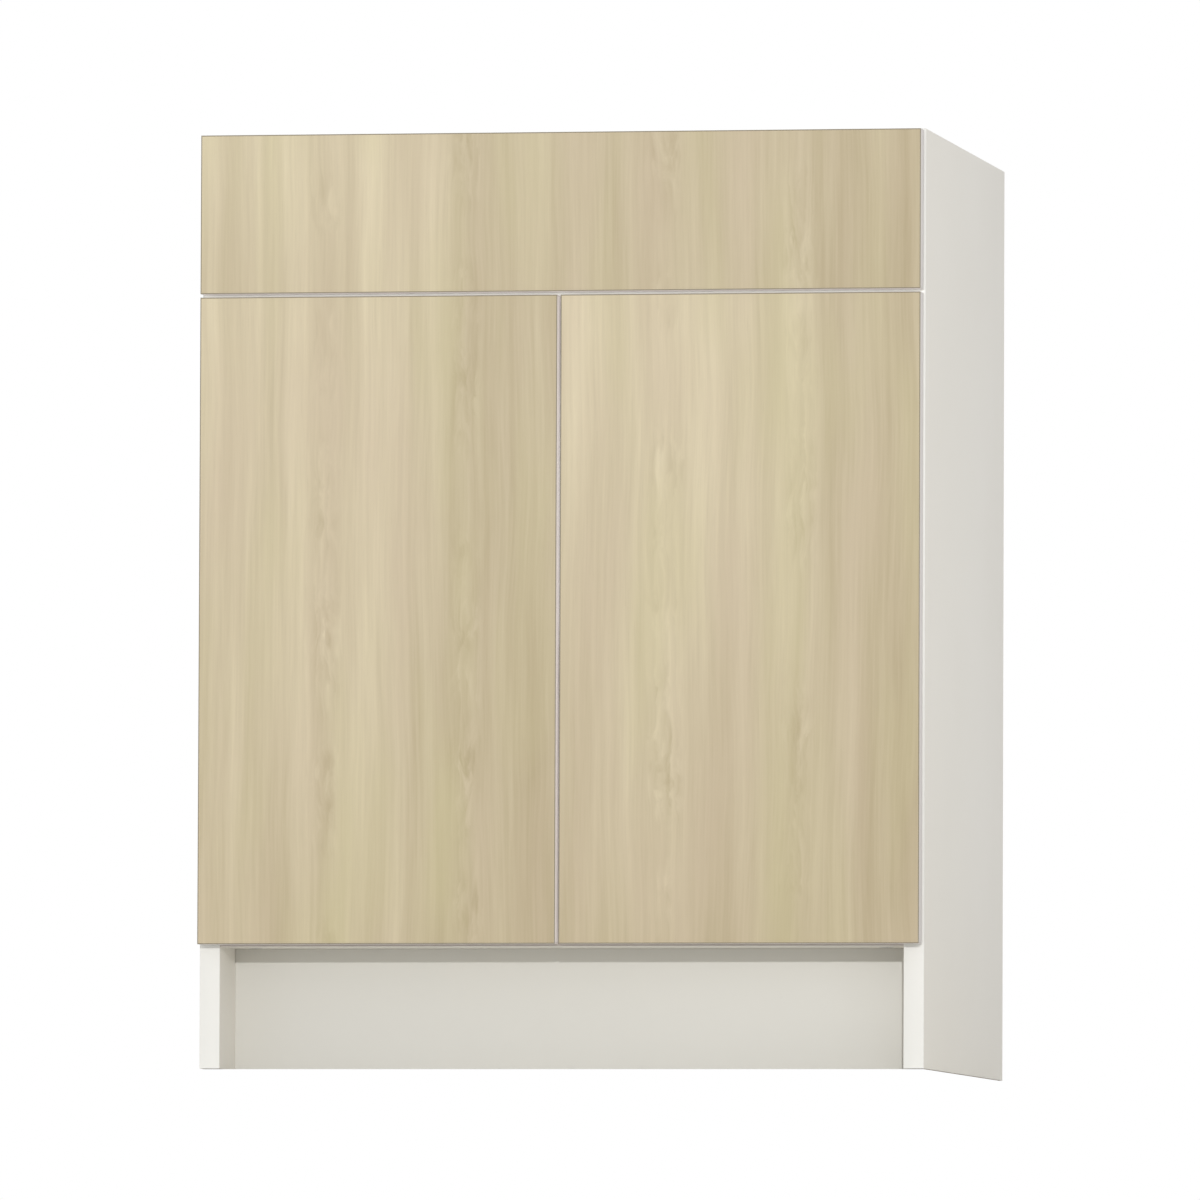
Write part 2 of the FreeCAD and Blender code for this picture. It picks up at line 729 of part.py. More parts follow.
def make_drawer_box():
    """Make the drawer's box: its boards stand round a U-shaped bottom that leaves room for the drain."""
    low = f"({BOX_LOW} + bottom_rise)"
    bottom = prism("drawer_bottom", bottom_outline(), (low, f"({low} + bottom_board)"))
    inner = f"({BOX_HALF} - box_board)"
    notch = "(notch_width / 2)"
    notch_outer = f"({notch} + box_board)"
    notch_front = f"({BOX_BACK} - notch_depth - box_board)"
    z = (BOX_LOW, BOX_HIGH)
    boards = {
        "drawer_box_front": (both_sides(inner), (FRONT_BACK, f"({FRONT_BACK} + box_board)")),
        "notch_front": (both_sides(notch), (notch_front, f"({notch_front} + box_board)")),
    }
    back = (f"({BOX_BACK} - box_board)", BOX_BACK)
    for side, hand in ((-1, "left"), (1, "right")):
        boards[f"drawer_side_{hand}"] = (span(side, inner, BOX_HALF), (FRONT_BACK, BOX_BACK))
        boards[f"drawer_back_{hand}"] = (span(side, notch_outer, inner), back)
        boards[f"notch_side_{hand}"] = (span(side, notch, notch_outer), (notch_front, BOX_BACK))
    for name, (x, y) in boards.items():
        tools = [bottom]
        if name == "drawer_box_front":
            ends = (f"({FRONT_BACK} - overrun)", f"({FRONT_BACK} + box_board + overrun)")
            tools += [rod("front_screw_hole", "y", "screw_radius", ends, x=x0, z=z0)
                      for x0, z0 in front_screw_places()]
        if name.startswith("drawer_side"):
            side = -1 if name.endswith("left") else 1
            ends = span(side, f"({BOX_HALF} - box_board / 2)", BOX_HALF)
            tools += [rod("slide_screw_hole", "x", "screw_radius", ends, y=y0, z=z0)
                      for y0, z0 in slide_holes()]
        node(cut(name, box(f"{name}_blank", x, y, z), tools), name)
    node(bottom, "drawer_bottom")


def edged_front(name, x, z, tools):
    """Make one front: a panel cut by its tools, and the four bands round its edges."""
    y = (FRONT_FACE, FRONT_BACK)
    inner_x = (f"({x[0]} + edge_band)", f"({x[1]} - edge_band)")
    inner_z = (f"({z[0]} + edge_band)", f"({z[1]} - edge_band)")
    panel = box(f"{name}_blank", inner_x, y, inner_z)
    node(cut(name, panel, tools), name)
    reaches = ((x, (z[0], inner_z[0])), (x, (inner_z[1], z[1])),
               ((x[0], inner_x[0]), inner_z), ((inner_x[1], x[1]), inner_z))
    bands = [box(f"{name}_band", across, y, up) for across, up in reaches]
    edging = name.replace("front", "front_edging").replace("door", "door_edging")
    node(gather(edging, bands), edging)


def make_drawer_front():
    """Make the drawer's front and the screws that hold it to the box."""
    ends = (f"({FRONT_BACK} - screw_bite)", f"({FRONT_BACK} + overrun)")
    holes = [rod("front_screw_bite", "y", "screw_radius", ends, x=x, z=z) for x, z in front_screw_places()]
    edged_front("drawer_front", both_sides("(case_width / 2 - reveal)"),
                (DRAWER_FRONT_LOW, DRAWER_FRONT_HIGH), holes)
    long_screw = screw("front_screw", "(screw_bite + box_board)")
    screws = copies("front_screws", long_screw,
                    [(x, f"({FRONT_BACK} - screw_bite)", z, BARS["y"]) for x, z in front_screw_places()])
    short_screw = screw("slide_screw", "(box_board / 2 + slide_steel)")
    sides = [(signed(side, f"({BOX_HALF} - box_board / 2)"), y, z, INWARD[-side])
             for side in (-1, 1) for y, z in slide_holes()]
    node(gather("drawer_screws", [screws, copies("slide_screws", short_screw, sides)]), "drawer_screws")


# Slides

def channel(name, base, tip, half, steel):
    """Make a slide member or a ball cage: a channel with its web at the base and its lips at the tip."""
    sign = "+" if value(tip) > value(base) else "-"
    web = f"({base} {sign} {steel})"
    low, lip = f"(-({half}))", f"({half} - {steel})"
    body = new_body(name)
    outline = sketch(body, "outline", "XZ_Plane")
    polygon(outline, ((base, low), (tip, low), (tip, f"(-{lip})"), (web, f"(-{lip})"),
                      (web, lip), (tip, lip), (tip, half), (base, half)))
    return body, outline


def member(name, base, tip, half):
    """Make one of the three members of the left slide."""
    body, outline = channel(name, base, tip, half, "slide_steel")
    pad(outline, f"({SLIDE_BACK} - {SLIDE_FRONT})", reverse=True)
    return place(body, f"(-{INNER})", SLIDE_FRONT, SLIDE_MIDDLE)


def retainer(name, base, tip, row, ball_place, ball):
    """Make a ball cage with its two rows of balls, for the left slide."""
    body, outline = channel(f"{name}_cage", base, tip, f"({row} + cage_steel / 2)", "cage_steel")
    pad(outline, "cage_length", reverse=True)
    windows = sketch(body, "windows", "XY_Plane")
    spots = [f"(cage_length / 2 {step} * ball_pitch)" for step in ("- 1", "+ 0", "+ 1")]
    reach = "(ball_radius + ball_play)"
    for spot in spots:
        rectangle(windows, (f"({ball_place} - {reach})", f"({ball_place} + {reach})"),
                  (f"({spot} - {reach})", f"({spot} + {reach})"))
    pocket(windows, "slide_height", middle=True)
    start = f"({SLIDE_FRONT} + cage_setback)"
    balls = [(f"({ball_place} - {INNER})", f"({start} + {spot})", f"({SLIDE_MIDDLE} {sign} {row})", UPRIGHT)
             for spot in spots for sign in "+-"]
    cage = place(body, f"(-{INNER})", start, SLIDE_MIDDLE)
    return gather(name, [cage, copies(f"{name}_balls", ball, balls)])


def make_ball(radius):
    """Make a ball of twenty equal faces."""
    golden = (1 + math.sqrt(5)) / 2
    corners = [Vector(*spot).normalize() * radius for one in (-1, 1) for other in (-golden, golden)
               for spot in ((0, one, other), (one, other, 0), (other, 0, one))]
    side = min(start.distanceToPoint(end) for start, end in itertools.combinations(corners, 2))
    faces = []
    for trio in itertools.combinations(corners, 3):
        if all(math.isclose(start.distanceToPoint(end), side, rel_tol=1e-6)
               for start, end in itertools.combinations(trio, 2)):
            faces.append(Part.Face(Part.makePolygon([*trio, trio[0]])))
    ball = DOC.addObject("Part::Feature", "ball")
    ball.Shape = Part.makeSolid(Part.makeShell(faces))
    return ball


def make_slides():
    """Make the left slide's members and ball retainers, and their right-hand twins."""
    ball = make_ball(value("ball_radius"))
    outer = member("slide_outer_left", "0", "outer_reach", "(slide_height / 2)")
    screws = sketch(outer, "screw_holes", "YZ_Plane")
    for y, _ in slide_holes():
        many_sided(screws, f"({y} - {SLIDE_FRONT})", "0", "system_hole")
    pocket(screws, "slide_steel * 2", middle=True)
    inner = member("slide_inner_left", "slide_thickness", INNER_TIP, INNER_HALF)
    screws = sketch(inner, "screw_holes", "YZ_Plane", "slide_thickness")
    for y, _ in slide_holes():
        many_sided(screws, f"({y} - {SLIDE_FRONT})", "0", "screw_radius")
    pocket(screws, "slide_steel * 2", middle=True)
    middle = member("slide_middle_left", MIDDLE_BASE, "middle_reach", MIDDLE_HALF)
    outer_cage = retainer("outer_ball_retainer_left", CAGE_BASE, "outer_cage_reach", OUTER_ROW,
                          "outer_ball_place", ball)
    inner_cage = retainer("inner_ball_retainer_left", INNER_CAGE_BASE, "middle_reach", INNER_ROW,
                          "inner_ball_place", ball)
    for piece, name in ((outer, "slide_outer"), (middle, "slide_middle"), (inner, "slide_inner"),
                        (outer_cage, "outer_ball_retainer"), (inner_cage, "inner_ball_retainer")):
        node(piece, f"{name}_left")
        node(mirror(f"{name}_right", piece), f"{name}_right")


# Push-to-open latches

def make_latches():
    """Make the latch housings with their screws, and the plungers that push the fronts open."""
    half = "(latch_width / 2)"
    y = ("latch_setback", "(latch_setback + latch_length)")
    level = "(-latch_height / 2)"
    case = box("latch_case", both_sides(half), y, ("(-latch_height)", "0"))
    flange = box("latch_flange", both_sides(f"({half} + latch_flange)"),
                 ("(latch_setback + latch_length / 4)", "(latch_setback + latch_length * 3 / 4)"),
                 ("(-latch_flange_height)", "0"))
    bore = rod("latch_bore", "y", "(plunger_radius + plunger_play)",
               ("(latch_setback - overrun)", "(plunger_length + overrun)"), PIN_SIDES, x="0", z=level)
    screw_y = "(latch_setback + latch_length / 2)"
    holes = [rod("latch_screw_hole", "z", "screw_radius", ("(-latch_flange_height - overrun)", "overrun"),
                 x=signed(side, LATCH_SCREW_X), y=screw_y) for side in (-1, 1)]
    housing = cut("latch_housing", fuse("latch_blank", [case, flange]), [bore, *holes])
    spots = [(signed(side, "latch_spread"), CASE_FRONT, DIVIDER_LOW, UPRIGHT) for side in (-1, 1)]
    spots.append(("0", CASE_FRONT, DIVIDER_HIGH, UPSIDE_DOWN))
    node(copies("latch_housings", housing, spots), "latch_housings")
    latch_screw = screw("latch_screw", "(latch_flange_height + screw_bite)")
    screws = [(f"({x} {sign} {LATCH_SCREW_X})", LATCH_SCREW_Y, z, turn)
              for x, z, turn in latch_screw_seats() for sign in "+-"]
    node(copies("latch_screws", latch_screw, screws), "latch_screws")
    step = "(latch_setback / 2)"
    plunger = stack("latch_plunger", (("plunger_tip", "(bumper_play - front_gap)", step),
                                      ("plunger_radius", step, "plunger_length")), PIN_SIDES)
    for name, x, z in (
        ("latch_plunger_left", signed(-1, "latch_spread"), f"({DIVIDER_LOW} - latch_height / 2)"),
        ("latch_plunger_right", "latch_spread", f"({DIVIDER_LOW} - latch_height / 2)"),
        ("latch_plunger_drawer", "0", f"({DIVIDER_HIGH} + latch_height / 2)"),
    ):
        node(copies(name, plunger, [(x, CASE_FRONT, z, BARS["y"])]), name)


def latch_screw_seats():
    """List the X of each latch, the height of its screws' tips and the screws' turn."""
    below = f"({DIVIDER_LOW} + screw_bite)"
    above = f"({DIVIDER_HIGH} - screw_bite)"
    return ((signed(-1, "latch_spread"), below, UPSIDE_DOWN), ("latch_spread", below, UPSIDE_DOWN),
            ("0", above, UPRIGHT))


# Concealed hinges

def hinge_places():
    """List the places of the left door's hinges: the origin of their own measures."""
    return [("(-case_width / 2)", CASE_FRONT, height, UPRIGHT) for height in HINGE_HEIGHTS]


def make_hinge_plates():
    """Make the mounting plates: a base with two screw holes, and the ridge that the arm slides onto."""
    plate = new_body("hinge_plate")
    base = sketch(plate, "base", "YZ_Plane", "board")
    wing = "(plate_wing / 2)"
    rectangle(base, (f"(hole_setback - {wing})", f"(hole_setback + {wing})"),
              both_sides("(hole_pitch / 2 + plate_wing / 2)"))
    pad(base, "plate_base")
    ridge = sketch(plate, "ridge", "YZ_Plane", "board")
    rectangle(ridge, ("plate_front", "(plate_front + plate_length)"), both_sides("(plate_width / 2)"))
    pad(ridge, "(arm_high - arm_steel - board)")
    screws = sketch(plate, "screw_holes", "YZ_Plane", "board")
    for sign in "+-":
        many_sided(screws, "hole_setback", f"(0 {sign} hole_pitch / 2)", "system_hole")
    pocket(screws, "plate_base", reverse=True)
    bores = sketch(plate, "arm_screw_holes", "YZ_Plane", "(arm_high - arm_steel)")
    for y in ("arm_screw_front", "arm_screw_back"):
        many_sided(bores, y, "0", "screw_radius")
    pocket(bores, "(arm_screw_depth - arm_steel)")
    left = copies("hinge_plates_left", plate, hinge_places())
    node(gather("hinge_plates", [left, mirror("hinge_plates_right", left)]), "hinge_plates")


def make_hinge_arms():
    """Make the arms: a channel over the plate's ridge, whose cheeks reach out to the two fixed pivots."""
    arm = new_body("hinge_arm")
    toe = "(inner_pivot_u + arm_eye)"
    cheeks = sketch(arm, "cheeks", "XY_Plane")
    polygon(cheeks, (
        ("arm_low", "arm_back"), ("arm_low", "(outer_pivot_y - arm_eye)"),
        ("(inner_pivot_u - arm_eye)", "(inner_pivot_y - arm_eye)"), (toe, "(inner_pivot_y - arm_eye)"),
        (toe, "(inner_pivot_y + arm_eye)"), ("arm_high", "plate_front"), ("arm_high", "arm_back"),
    ))
    pad(cheeks, "arm_width", middle=True)
    hollow = sketch(arm, "hollow", "XY_Plane")
    low, high = "(arm_low - overrun)", "(arm_high - arm_steel)"
    polygon(hollow, (
        (low, "(arm_back + overrun)"), (low, "(inner_pivot_y - arm_eye - overrun)"),
        (f"({toe} + overrun)", "(inner_pivot_y - arm_eye - overrun)"), (f"({toe} + overrun)", "plate_front"),
        (high, "plate_front"), (high, "(arm_back + overrun)"),
    ))
    pocket(hollow, "(arm_width - arm_steel * 2)", middle=True)
    pins = sketch(arm, "pin_holes", "XY_Plane")
    many_sided(pins, "outer_pivot_u", "outer_pivot_y", f"(hinge_pin / cos({180 / PIN_SIDES}))", PIN_SIDES)
    many_sided(pins, "inner_pivot_u", "inner_pivot_y", "hinge_pin", PIN_SIDES)
    pocket(pins, "(arm_width * 2)", middle=True)
    screws = sketch(arm, "screw_holes", "YZ_Plane", "arm_high")
    for y in ("arm_screw_front", "arm_screw_back"):
        many_sided(screws, y, "0", "screw_radius")
    pocket(screws, "arm_steel")
    arms = copies("hinge_arm_pair", arm, hinge_places())
    half = "(arm_width / 2)"
    pins = [rod("arm_pin", "z", "hinge_pin", (f"({height} - {half})", f"({height} + {half})"), sides,
                x=f"({name}_pivot_u - case_width / 2)", y=f"({CASE_FRONT} + {name}_pivot_y)")
            for height in HINGE_HEIGHTS for name, sides in (("outer", ROUND), ("inner", PIN_SIDES))]
    left = gather("hinge_arms_left", [arms, *pins])
    node(gather("hinge_arms", [left, mirror("hinge_arms_right", left)]), "hinge_arms")
    arm_screw = screw("arm_screw", "arm_screw_depth")
    seats = [(f"(arm_high - arm_screw_depth - case_width / 2)", f"({CASE_FRONT} + {y})", height, BARS["x"])
             for height in HINGE_HEIGHTS for y in ("arm_screw_front", "arm_screw_back")]
    left = copies("adjusting_screws_left", arm_screw, seats)
    node(gather("adjusting_screws", [left, mirror("adjusting_screws_right", left)]), "adjusting_screws")


def make_hinge_cups():
    """Make the cups, with their plugs, and the pins in them that the links turn on."""
    wall = rod("cup_shell", "y", "(cup_bore - cup_play)", ("(-cup_depth)", "0"), CUP_SIDES, x="0", z="0")
    rim = rod("cup_rim", "y", "cup_rim", ("0", "cup_flange"), CUP_SIDES, x="0", z="0")
    wings = box("cup_wings", ("0", "wing_width"), ("0", "cup_flange"), both_sides("wing_half"))
    plugs = [rod("cup_plug", "y", "plug_radius", ("(-plug_depth)", "0"), x="plug_offset",
                 z=f"(0 {sign} plug_spread)") for sign in "+-"]
    hollow = rod("cup_hollow", "y", CUP_INNER, ("(cup_wall - cup_depth)", "(cup_flange + overrun)"),
                 CUP_SIDES, x="0", z="0")
    cup = cut("hinge_cup", fuse("cup_blank", [wall, rim, wings, *plugs]), [hollow])
    pieces = [copies("cups_left", cup, [(f"({CUP_CENTRE} - case_width / 2)", FRONT_BACK, height, UPRIGHT)
                                        for height in HINGE_HEIGHTS])]
    flat = f"({CUP_INNER} * cos({180 / CUP_SIDES}))"
    for height, name in itertools.product(HINGE_HEIGHTS, ("outer", "inner")):
        reach = f"({CUP_CENTRE} - {name}_cup_u + hinge_pin)"
        half = f"sqrt({flat} * {flat} - {reach} * {reach})"
        low, high = f"({height} - {half})", f"({height} + {half})"
        stubs = ((low, f"({height} - stub_end)"), (f"({height} + stub_end)", high))
        for ends in stubs if name == "inner" else ((low, high),):
            pieces.append(rod("cup_pin", "z", "hinge_pin", ends, ROUND,
                              x=f"({name}_cup_u - case_width / 2)", y=f"({CASE_FRONT} + {name}_cup_y)"))
    left = gather("hinge_cups_left", pieces)
    node(left, "hinge_cups_left")
    node(mirror("hinge_cups_right", left), "hinge_cups_right")


def slab(corners, low, high):
    """Make a flat plate of an outline's corners, from a low to a high Z."""
    points = [Vector(corner.x, corner.y, low) for corner in corners]
    return Part.Face(Part.makePolygon([*points, points[0]])).extrude(Vector(0, 0, high - low))


def eye_corners(centre, radius):
    """List the corners of a many-sided eye."""
    turns = [2 * math.pi * number / PIN_SIDES for number in range(PIN_SIDES)]
    return [Vector(centre[0] + radius * math.cos(turn), centre[1] + radius * math.sin(turn), 0)
            for turn in turns]


def beside(route, distance):
    """List the corners that run along the left of a route, at a distance from it."""
    spots = [Vector(*point, 0) for point in route]
    ways = [(end - start).normalize() for start, end in zip(spots, spots[1:])]
    corners = []
    for spot, before, after in zip(spots, [ways[0], *ways], [*ways, ways[-1]]):
        middle = Vector(-before.y - after.y, before.x + after.x, 0).normalize()
        corners.append(spot + middle * (distance / middle.dot(Vector(-before.y, before.x, 0))))
    return corners


def link_shape(route, layers, eyes, holes):
    """Make a cranked link of one or two plates: a strip along its route with an eye at each end."""
    half = value("link_steel / 2")
    strip = beside(route, half) + beside(route, -half)[::-1]
    ends = (route[0], route[-1])
    plates = []
    for low, high in layers:
        eye_plates = [slab(eye_corners(point, eye), low, high) for point, eye in zip(ends, eyes)]
        plate = slab(strip, low, high).fuse(eye_plates).removeSplitter()
        for point, hole in zip(ends, holes):
            plate = plate.cut(slab(eye_corners(point, hole), low, high))
        plates.append(plate)
    return Part.makeCompound(plates)


def make_links():
    """Make the two cranked links of each hinge; the inner one has a wide eye on its fixed pin."""
    flat = math.cos(math.pi / PIN_SIDES)
    pin_hole, wide_hole = value("hinge_pin + pin_clearance") / flat, value("open_eye") / flat
    eye = value("link_eye")
    width, inner, outer = value("outer_link_half"), value("inner_link_low"), value("inner_link_high")
    links = {
        "outer": (((-width, width),), (eye, eye), (pin_hole, pin_hole)),
        "inner": (((-outer, -inner), (inner, outer)), (wide_hole + value("link_steel / 2"), eye),
                  (wide_hole, pin_hole)),
    }
    for name, (layers, eyes, holes) in links.items():
        route = [(value(f"{name}_{spot}_u"), value(f"{name}_{spot}_y"))
                 for spot in ("pivot", "heel", "knee", "cup")]
        master = DOC.addObject("Part::Feature", f"{name}_link")
        master.Shape = link_shape(route, layers, eyes, holes)
        left = copies(f"{name}_links_left", master, hinge_places())
        node(left, f"{name}_links_left")
        node(mirror(f"{name}_links_right", left), f"{name}_links_right")


# Doors

def make_doors():
    """Make the two doors, bored for their hinge cups."""
    for side, hand in ((-1, "left"), (1, "right")):
        tools = []
        for height in HINGE_HEIGHTS:
            x = signed(side, f"(case_width / 2 - {CUP_CENTRE})")
            plug_x = signed(side, f"(case_width / 2 - {CUP_CENTRE} - plug_offset)")
            back = f"({FRONT_BACK} + overrun)"
            cup_ends = (f"({FRONT_BACK} - cup_bore_depth)", back)
            tools.append(rod("cup_bore", "y", "cup_bore", cup_ends, CUP_SIDES, x=x, z=height))
            tools += [rod("plug_bore", "y", "plug_radius", (f"({FRONT_BACK} - plug_depth)", back), x=plug_x,
                          z=f"({height} {sign} plug_spread)") for sign in "+-"]
        x = span(side, "(front_spacing / 2)", "(case_width / 2 - reveal)")
        edged_front(f"door_{hand}", x, (DOOR_LOW, DOOR_HIGH), tools)


def write_parts():
    """Check every object, then write one file for each sub-part."""
    DOC.recompute()
    for item in DOC.Objects:
        if {"Invalid", "Error"} & set(item.State):
            raise ValueError(f"{item.Name} failed: {item.State}")
    os.makedirs("parts", exist_ok=True)
    for piece in NODES:
        shape = piece.Shape
        if shape.isNull() or not shape.isValid():
            raise ValueError(f"{piece.Label} has no valid shape")
    for piece in NODES:
        piece.Shape.exportStep(f"parts/{piece.Label}.step")
        print(piece.Label, len(piece.Shape.Solids), round(piece.Shape.Volume))


fill_sheet()
make_side_panels()
make_level_boards()
make_back()
make_kickboard()
make_shelf()
make_carcass_edging()
make_bumpers()
make_cams()
make_cam_bolts()
make_dowels()
make_system_screws()
make_drawer_box()
make_drawer_front()
make_slides()
make_latches()
make_hinge_plates()
make_hinge_arms()
make_hinge_cups()
make_links()
make_doors()
write_parts()
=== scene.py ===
import json
import logging
import math
from dataclasses import dataclass
from enum import Enum
from typing import Callable, Iterable, Optional, Sequence, Union

import bmesh
import bpy
from bmesh.types import BMEdge, BMesh, BMFace, BMVert
from bpy.types import Material, NodeSocket, Object
from mathutils import Matrix, Vector


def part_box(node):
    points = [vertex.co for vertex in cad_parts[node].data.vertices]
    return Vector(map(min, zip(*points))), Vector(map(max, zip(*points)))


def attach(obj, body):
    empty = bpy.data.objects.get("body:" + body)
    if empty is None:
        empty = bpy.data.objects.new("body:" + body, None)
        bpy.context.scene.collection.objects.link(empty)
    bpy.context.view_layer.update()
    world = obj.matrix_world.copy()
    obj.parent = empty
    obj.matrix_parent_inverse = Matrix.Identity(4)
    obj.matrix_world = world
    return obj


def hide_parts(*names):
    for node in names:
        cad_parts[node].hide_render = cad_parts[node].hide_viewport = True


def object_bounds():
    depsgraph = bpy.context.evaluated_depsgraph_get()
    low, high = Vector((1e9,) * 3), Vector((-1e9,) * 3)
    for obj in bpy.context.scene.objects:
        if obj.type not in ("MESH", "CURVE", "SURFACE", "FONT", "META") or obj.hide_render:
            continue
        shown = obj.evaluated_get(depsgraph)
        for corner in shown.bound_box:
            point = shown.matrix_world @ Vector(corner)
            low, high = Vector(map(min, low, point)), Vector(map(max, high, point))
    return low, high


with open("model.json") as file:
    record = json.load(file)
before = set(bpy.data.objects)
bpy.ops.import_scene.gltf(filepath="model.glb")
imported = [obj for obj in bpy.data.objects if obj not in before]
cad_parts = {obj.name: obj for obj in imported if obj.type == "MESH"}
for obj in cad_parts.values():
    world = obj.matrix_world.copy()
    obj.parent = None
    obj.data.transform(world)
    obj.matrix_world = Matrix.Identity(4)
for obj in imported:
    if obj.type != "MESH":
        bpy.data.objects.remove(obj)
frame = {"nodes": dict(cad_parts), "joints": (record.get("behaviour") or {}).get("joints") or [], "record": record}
CAD_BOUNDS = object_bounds()

LOG = logging.getLogger("vanity cabinet")
MM = 0.001
SAME_SPOT = 0.002 * MM
SAME_PLANE = 0.0005 * MM
LEAST_EDGE = 0.001 * MM
FLAT = math.radians(1)
SMOOTH = math.radians(35)
ROUND_FROM = math.radians(15)
ROUND_TO = math.radians(50)
ROUND_STEPS = 4
ROUND_SHARE = 49.0
FACING = 0.9
NOT_FRONT = -0.5
HANDS = ("left", "right")
Colour = tuple[float, float, float]
Outline = Sequence[tuple[float, float]]
Value = Union["Field", float]
BODY_OF = {node: body for body, nodes in frame["record"]["behaviour"]["bodies"].items() for node in nodes}


class Axis(Enum):
    """The way that a grain or a drawn surface runs."""

    X = 0
    Y = 1
    Z = 2


def screen(red: int, green: int, blue: int) -> Colour:
    """Turn a colour as a screen shows it into the linear one that a shader takes.

    Args:
        red: The red part, 0 to 255.
        green: The green part, 0 to 255.
        blue: The blue part, 0 to 255.

    Returns:
        The linear colour.
    """
    parts = (part / 255 for part in (red, green, blue))
    return tuple(part / 12.92 if part <= 0.04045 else ((part + 0.055) / 1.055) ** 2.4 for part in parts)


# Shader maths


def pick(sockets: Sequence[NodeSocket], name: "str | int") -> NodeSocket:
    """Find a socket.

    Args:
        sockets: A node's inputs or outputs.
        name: The socket's number, identifier or name.

    Returns:
        The socket.
    """
    if isinstance(name, int):
        return sockets[name]
    named = [socket for socket in sockets if socket.identifier == name]
    return named[0] if named else sockets[name]


class Field:
    """A value that varies over a surface, on which Python's operators add Math nodes."""

    def __init__(self, shader: "Shader", socket: NodeSocket) -> None:
        """Keep the socket and the shader that it belongs to."""
        self.shader = shader
        self.socket = socket

    def join(self, operation: str, *values: Value) -> "Field":
        """Add a Math node.

        Args:
            operation: The Math node's operation.
            values: Its inputs, in order.

        Returns:
            The node's value.
        """
        inputs = dict(enumerate(values))
        return self.shader.add("ShaderNodeMath", {"operation": operation}, inputs).out(0)

    def __add__(self, other: Value) -> "Field":
        """Add."""
        return self.join("ADD", self, other)

    def __radd__(self, other: float) -> "Field":
        """Add to a number."""
        return self.join("ADD", other, self)

    def __sub__(self, other: Value) -> "Field":
        """Subtract."""
        return self.join("SUBTRACT", self, other)

    def __rsub__(self, other: float) -> "Field":
        """Subtract from a number."""
        return self.join("SUBTRACT", other, self)

    def __mul__(self, other: Value) -> "Field":
        """Multiply."""
        return self.join("MULTIPLY", self, other)

    def __rmul__(self, other: float) -> "Field":
        """Multiply a number."""
        return self.join("MULTIPLY", other, self)

    def power(self, other: float) -> "Field":
        """Raise to a power."""
        return self.join("POWER", self, other)

    def size(self) -> "Field":
        """Drop the sign."""
        return self.join("ABSOLUTE", self)

    def limit(self, low: float, high: float) -> "Field":
        """Spread a range over 0 to 1, and stop at both ends.

        Args:
            low: The value that becomes 0.
            high: The value that becomes 1.

        Returns:
            The spread value.
        """
        inputs = {"Value": self, "From Min": low, "From Max": high}
        return self.shader.add("ShaderNodeMapRange", {"clamp": True}, inputs).out(0)


class Node:
    """A node of a shader."""

    def __init__(self, shader: "Shader", node: bpy.types.Node) -> None:
        """Keep the node and its shader."""
        self.shader = shader
        self.node = node

    def out(self, name: "str | int") -> Field:
        """Return an output by its number, identifier or name."""
        return Field(self.shader, pick(self.node.outputs, name))


